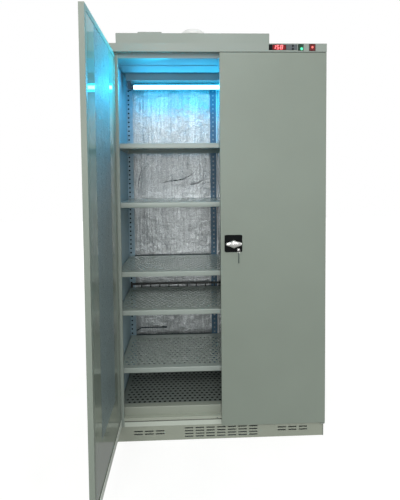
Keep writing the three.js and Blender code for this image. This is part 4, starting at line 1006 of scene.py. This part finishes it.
def make_key():
    """The lock's barrel with its key, and a tag that hangs from the key's ring."""
    low, high = box_mm("lock_key")
    x, z = HINGE["key_turn"].x, HINGE["key_turn"].z
    face = low.y + KEY_FACE
    hole = face - BOW_FROM_FACE
    barrel = high.y - face
    bm = bmesh.new()
    profile = [(0, 0), (0, 5.2), (0.8, 6.4), (barrel - 1, 6.4), (barrel, 5.4), (barrel, 0)]
    add_turned(bm, profile, (x, face, z), "y", 32)
    add_box(bm, (x - 1.0, x + 1.0), (face - 8, face + 1), (z - 4, z + 4), 0.3)
    add_hoop(bm, (x, hole, z), "x", (6.6, 9.5), (-1.25, 1.25), 32)
    piece("key_in_lock", bm, "key", "bright_steel", ("lock_key",))
    bm = bmesh.new()
    ring = [(x + RING_RADIUS * math.sin(a), hole, z - 6 + RING_RADIUS * math.cos(a))
            for a in turns(28) + [2 * math.pi]]
    add_tube(bm, ring, 0.7, 8)
    piece("key_ring", bm, "right_door", "bright_steel")
    box_piece("key_tag", (x - 1.8, x + 1.8), (hole - 0.6, hole + 0.4), (z - 62, z - 12), 0.3,
              "dark_rubber", "right_door")


make_handle()
make_handle_plate()
make_key()


# ---------- exhaust cap ----------

NECK_RADIUS = 50.0
CAP_UNDERSIDE = 19.0
DOME_FROM = 22.0
VENT_POSTS = 16


def make_exhaust_cap():
    """A smooth weather cap on a vented neck."""
    low, high = box_mm("exhaust_cap")
    centre = ((low.x + high.x) / 2, (low.y + high.y) / 2, low.z)
    radius = (high.x - low.x) / 2
    height = high.z - low.z
    rise = height - DOME_FROM
    slopes = [math.radians(a) for a in range(0, 90, 6)]
    dome = [(DOME_FROM + rise * math.sin(a), radius * math.cos(a)) for a in slopes]
    profile = [(CAP_UNDERSIDE, 0), (CAP_UNDERSIDE, radius - 1), (CAP_UNDERSIDE + 1, radius)]
    profile += dome + [(height, 0)]
    bm = bmesh.new()
    add_turned(bm, profile, centre, "z", 64)
    for angle in turns(VENT_POSTS):
        part = bmesh.new()
        add_box(part, (NECK_RADIUS - 6, NECK_RADIUS), (-4, 4), (2, CAP_UNDERSIDE + 0.5), 0.8)
        bmesh.ops.transform(part, matrix=Matrix.Rotation(angle, 4, "Z"), verts=part.verts)
        bmesh.ops.translate(part, vec=Vector(centre), verts=part.verts)
        merge(bm, part)
    add_hoop(bm, centre, "z", (44.0, NECK_RADIUS + 2), (0.0, 3.0), 64)
    piece("exhaust_weather_cap", bm, "cabinet", "white_plastic", ("exhaust_cap",))


make_exhaust_cap()


# ---------- temperature probe ----------

PROBE_LENGTH = 30.0
LEAD_RADIUS = 2.6
LEAD_DROOP = 15.0


def make_probe():
    """A probe on a short stiff lead that droops towards the upright."""
    low, high = box_mm("temperature_probe")
    y, z = (low.y + high.y) / 2, (low.z + high.z) / 2
    bm = bmesh.new()
    path = []
    for t in (k / 24 for k in range(25)):
        droop = LEAD_DROOP / (1 + math.exp(34 * (t - 0.12)))
        path.append((low.x + (high.x - PROBE_LENGTH - low.x) * t, y, z + 8.5 - droop))
    add_tube(bm, path, LEAD_RADIUS)
    profile = [(0, 0), (0, 3.4), (2, 4.6), (24, 4.8), (29, 3.0), (PROBE_LENGTH, 0)]
    add_turned(bm, profile, (high.x - PROBE_LENGTH - 0.5, y, z + 9.0), "x", 24)
    piece("probe_and_lead", bm, "cabinet", "dark_rubber", ("temperature_probe",))


make_probe()


# ---------- strips at the foot of the doorway: painted shade and painted light ---

LIT_FOOT_LEVELS = (1, 36)


def make_sill_gap_shade():
    """A thin grey strip along the foot of the threshold, painted shade for the gap beneath it, which the closed
    door covers.
    """
    low, high = box_mm("threshold")
    box_piece("sill_shadow_strip", (low.x + 1, high.x - 1), (low.y - 2.2, low.y - 0.1), (low.z + 0.2, low.z + 4.2),
              0.6, "dark_rubber", look=LOOKS["sill_shade_rubber"])


def make_lit_foot_strips():
    """Pale strips along the inner foot of the doors, painted light for the lit top of each door's bottom fold."""
    look = moulded("foot_strip_painted_light", srgb(238, 244, 236), 0.5, 400)
    for body in ("left_door", "right_door"):
        low, high = box_mm(f"{body}_skin")
        zs = [low.z + level for level in LIT_FOOT_LEVELS]
        xs, ys = (low.x + 4, high.x - 3), (high.y + 0.1, high.y + 1.3)
        if body == "left_door":
            xs, ys = (high.x + 0.1, high.x + 1.3), (low.y + 3, high.y - 4)
        box_piece(f"{body}_lit_foot_strip", xs, ys, zs, 0.4, "white_plastic", body, look)


make_sill_gap_shade()
make_lit_foot_strips()


# ---------- the CAD nodes that show as they are ----------

SLOTS = {s["node"]: s["material_slot"] for s in frame["record"]["subparts"]}
EDGE, FINE_EDGE = 0.5, 0.3
OWN_LOOKS = {node: look for look, nodes in (
    (painted("door_paint_glossy", DOOR_PAINT, 0.04), ("left_door_liner", "right_door_liner")),
    # The ceiling parts and the top rail take the body paint made darker and bluer: painted shade under the header
    # and ceiling, with painted blue lamp light
    (painted("inner_shade_paint", srgb(132, 149, 150), 0.6),
     ("ceiling_panel", "ceiling_baffle", "lamp_housing", "top_rail")),
    (painted("side_paint", srgb(160, 184, 192), 0.6), ("side_liner_left", "side_liner_right")),
    # The threshold and the bottom panel take lighter copies of the body paint: painted light on the ledges at the
    # foot of the opening
    (painted("threshold_lit_paint", srgb(176, 182, 168)), ("threshold",)),
    (painted("bottom_lit_paint", srgb(204, 212, 200)), ("bottom_panel",)),
    (LOOKS["grey_plastic"], ("lamp_holder_left", "lamp_holder_right")),
) for node in nodes}
FINE = {"lock_cam", "lock_rod_upper", "lock_rod_lower", "button_up", "button_down", "keypad_panel"}
for node_name, node in frame["nodes"].items():
    if not node.hide_render:
        node_look = OWN_LOOKS.get(node_name, LOOKS[SLOTS[node_name]])
        dress_node(node_name, node_look, FINE_EDGE if node_name in FINE else EDGE)


# ---------- camera ----------

CAMERA_PLACE = (-0.1522, -1.9571, 1.2668)
CAMERA_YAW = 0.0345
CAMERA_PITCH = -0.0422
CAMERA_ROLL = -0.0096
FOCAL_PX = 368.26
PRINCIPAL_Y_PX = 193.15
FRAME_HEIGHT_PX = 500
SENSOR_MM = 36.0


def make_camera():
    """The camera of the photograph, as it was fitted: its place in metres and its angles in radians."""
    data = bpy.data.cameras.new("camera")
    camera = bpy.data.objects.new("camera", data)
    bpy.context.scene.collection.objects.link(camera)
    ahead = Vector((math.sin(CAMERA_YAW) * math.cos(CAMERA_PITCH),
                    math.cos(CAMERA_YAW) * math.cos(CAMERA_PITCH), math.sin(CAMERA_PITCH)))
    right = Vector((math.cos(CAMERA_YAW), -math.sin(CAMERA_YAW), 0))
    up = right.cross(ahead)
    c, s = math.cos(CAMERA_ROLL), math.sin(CAMERA_ROLL)
    axes = (c * right + s * up, c * up - s * right, -ahead)
    camera.matrix_world = Matrix.Translation(CAMERA_PLACE) @ Matrix(axes).transposed().to_4x4()
    data.sensor_width = SENSOR_MM
    data.lens = FOCAL_PX / FRAME_HEIGHT_PX * SENSOR_MM
    data.shift_y = (PRINCIPAL_Y_PX - FRAME_HEIGHT_PX / 2) / FRAME_HEIGHT_PX
    data.clip_start = 0.05
    bpy.context.scene.camera = camera


make_camera()


# ---------- light, floor and backdrop ----------
LAMP_COLOUR = (0.0, 0.52, 1.0)
DOOR_GLOW_COLOUR = (0.0, 0.66, 1.0)
LAMP_LIGHT_LENGTH = 0.86
FLOOR_LIFT = 0.84
FLOOR_SIZE = 9000.0


def area_light(name, at, target, size, power, colour=(1, 1, 1)):
    """A rectangle of light at one place that faces another."""
    data = bpy.data.lights.new(name, "AREA")
    data.shape = "RECTANGLE"
    data.size, data.size_y = size
    data.energy = power
    data.color = colour
    lamp = bpy.data.objects.new(name, data)
    lamp.location = at
    lamp.rotation_mode = "QUATERNION"
    lamp.rotation_quaternion = (Vector(target) - Vector(at)).to_track_quat("-Z", "Y")
    bpy.context.scene.collection.objects.link(lamp)
    return lamp


def make_lamp_light():
    """The blue light that leaves the tube downwards, to the front and to the back, and its bounce."""
    low, high = box_mm("lamp_tube")
    y, z = (low.y + high.y) / 2, (low.z + high.z) / 2
    for name, at, way, depth, power in (
            ("lamp_down", (0, y, low.z - 6), (0, 0, -1), 26, 1.3),
            ("lamp_front", (0, low.y - 6, z), (0, -1, 0), 26, 2.0),
            ("lamp_back", (0, high.y + 6, z), (0, 1, 0), 26, 0.6),
            ("lamp_bounce", (0, low.y - 90, low.z - 40), (0, 0.5, 1), 60, 0.3)):
        at = Vector(at) * MM
        size = (LAMP_LIGHT_LENGTH, depth * MM)
        area_light(name, at, at + Vector(way), size, power, LAMP_COLOUR).visible_camera = False
    at = Vector((-150, low.y - 177, z - 6)) * MM
    light = area_light("lamp_to_door", at, at + Vector((-1, -1, -0.1)), (0.2, 0.026), 2.2, DOOR_GLOW_COLOUR)
    light.data.spread = math.radians(90)
    light.visible_camera = False
    light.visible_glossy = False


def seen_white(tree, glossy):
    """A factor that is 1 to the camera and through glass, glossy in reflections and 0 to other light."""
    path = add_node(tree, "LightPath").outputs
    mirrored = add_node(tree, "Math", path["Is Glossy Ray"], glossy, operation="MULTIPLY")
    clear = add_node(tree, "Math", path["Is Camera Ray"], path["Is Transmission Ray"], operation="MAXIMUM")
    seen = add_node(tree, "Math", mirrored.outputs["Value"], clear.outputs["Value"], operation="MAXIMUM")
    return seen.outputs["Value"]


def white_world(tree, strength, colour):
    """White to the camera and in reflections. To everything else it is a room lit from its ceiling."""
    parts = add_node(tree, "SeparateXYZ", Vector=add_node(tree, "TexCoord").outputs["Generated"])
    level = add_node(tree, "MapRange", Value=parts.outputs["Z"], From_Min=0.0, From_Max=0.8,
                     To_Min=strength * 0.35, To_Max=strength * 1.65)
    lighting = add_node(tree, "Background", Color=colour, Strength=level.outputs["Result"])
    white = add_node(tree, "Background", Color=(1, 1, 1, 1))
    mix = add_node(tree, "MixShader", seen_white(tree, 0.7), lighting.outputs["Background"],
                   white.outputs["Background"])
    fill(tree, tree.nodes["World Output"], Surface=mix.outputs["Shader"])


def floor_look():
    """A floor that keeps the shadow, and is lifted to white where it is seen, more so far away."""
    look = Look("pale_floor")
    tone = look.spread(look.noise(3.0, 2.0), 0, 1)
    away = look.add("VectorMath", look.coords, operation="LENGTH").outputs["Value"]
    lift = look.spread(away, FLOOR_LIFT, 1.0, 0.9, 3.0)
    strength = look.add("Math", seen_white(look.tree, 0.3), lift, operation="MULTIPLY").outputs["Value"]
    glow = look.add("Emission", Strength=strength).outputs["Emission"]
    total = look.add("AddShader", look.shader.outputs["BSDF"], glow)
    fill(look.tree, look.tree.nodes["Material Output"], Surface=total.outputs["Shader"])
    return look.made(Roughness=0.9, Base_Color=look.blend(tone, (0.22, 0.22, 0.21, 1), (0.26, 0.26, 0.25, 1)))


def make_surroundings():
    """The white room, the floor and the three lights in front of the cabinet."""
    world = bpy.data.worlds.new("world")
    world.use_nodes = True
    bpy.context.scene.world = world
    white_world(world.node_tree, 0.36, (0.97, 1.0, 0.98, 1))
    bm = bmesh.new()
    size = FLOOR_SIZE
    add_prism(bm, [(-size, -size), (size, -size), (size, size), (-size, size)], -20.0, -0.4, "xyz")
    floor = bpy.data.objects.new("floor", mesh_of("floor", bm, floor_look()))
    bpy.context.scene.collection.objects.link(floor)
    area_light("key", (-0.6, -5.0, 3.9), (0, 0, 1.0), (3.0, 0.9), 105)
    area_light("card", (-0.5, -4.2, 1.4), (-0.2, 0.4, 1.3), (1.8, 0.6), 34)
    area_light("fill", (3.4, -3.0, 1.7), (0.1, 0, 0.9), (2.2, 2.2), 32)


make_surroundings()
make_lamp_light()
bpy.context.scene.view_settings.view_transform = "Standard"
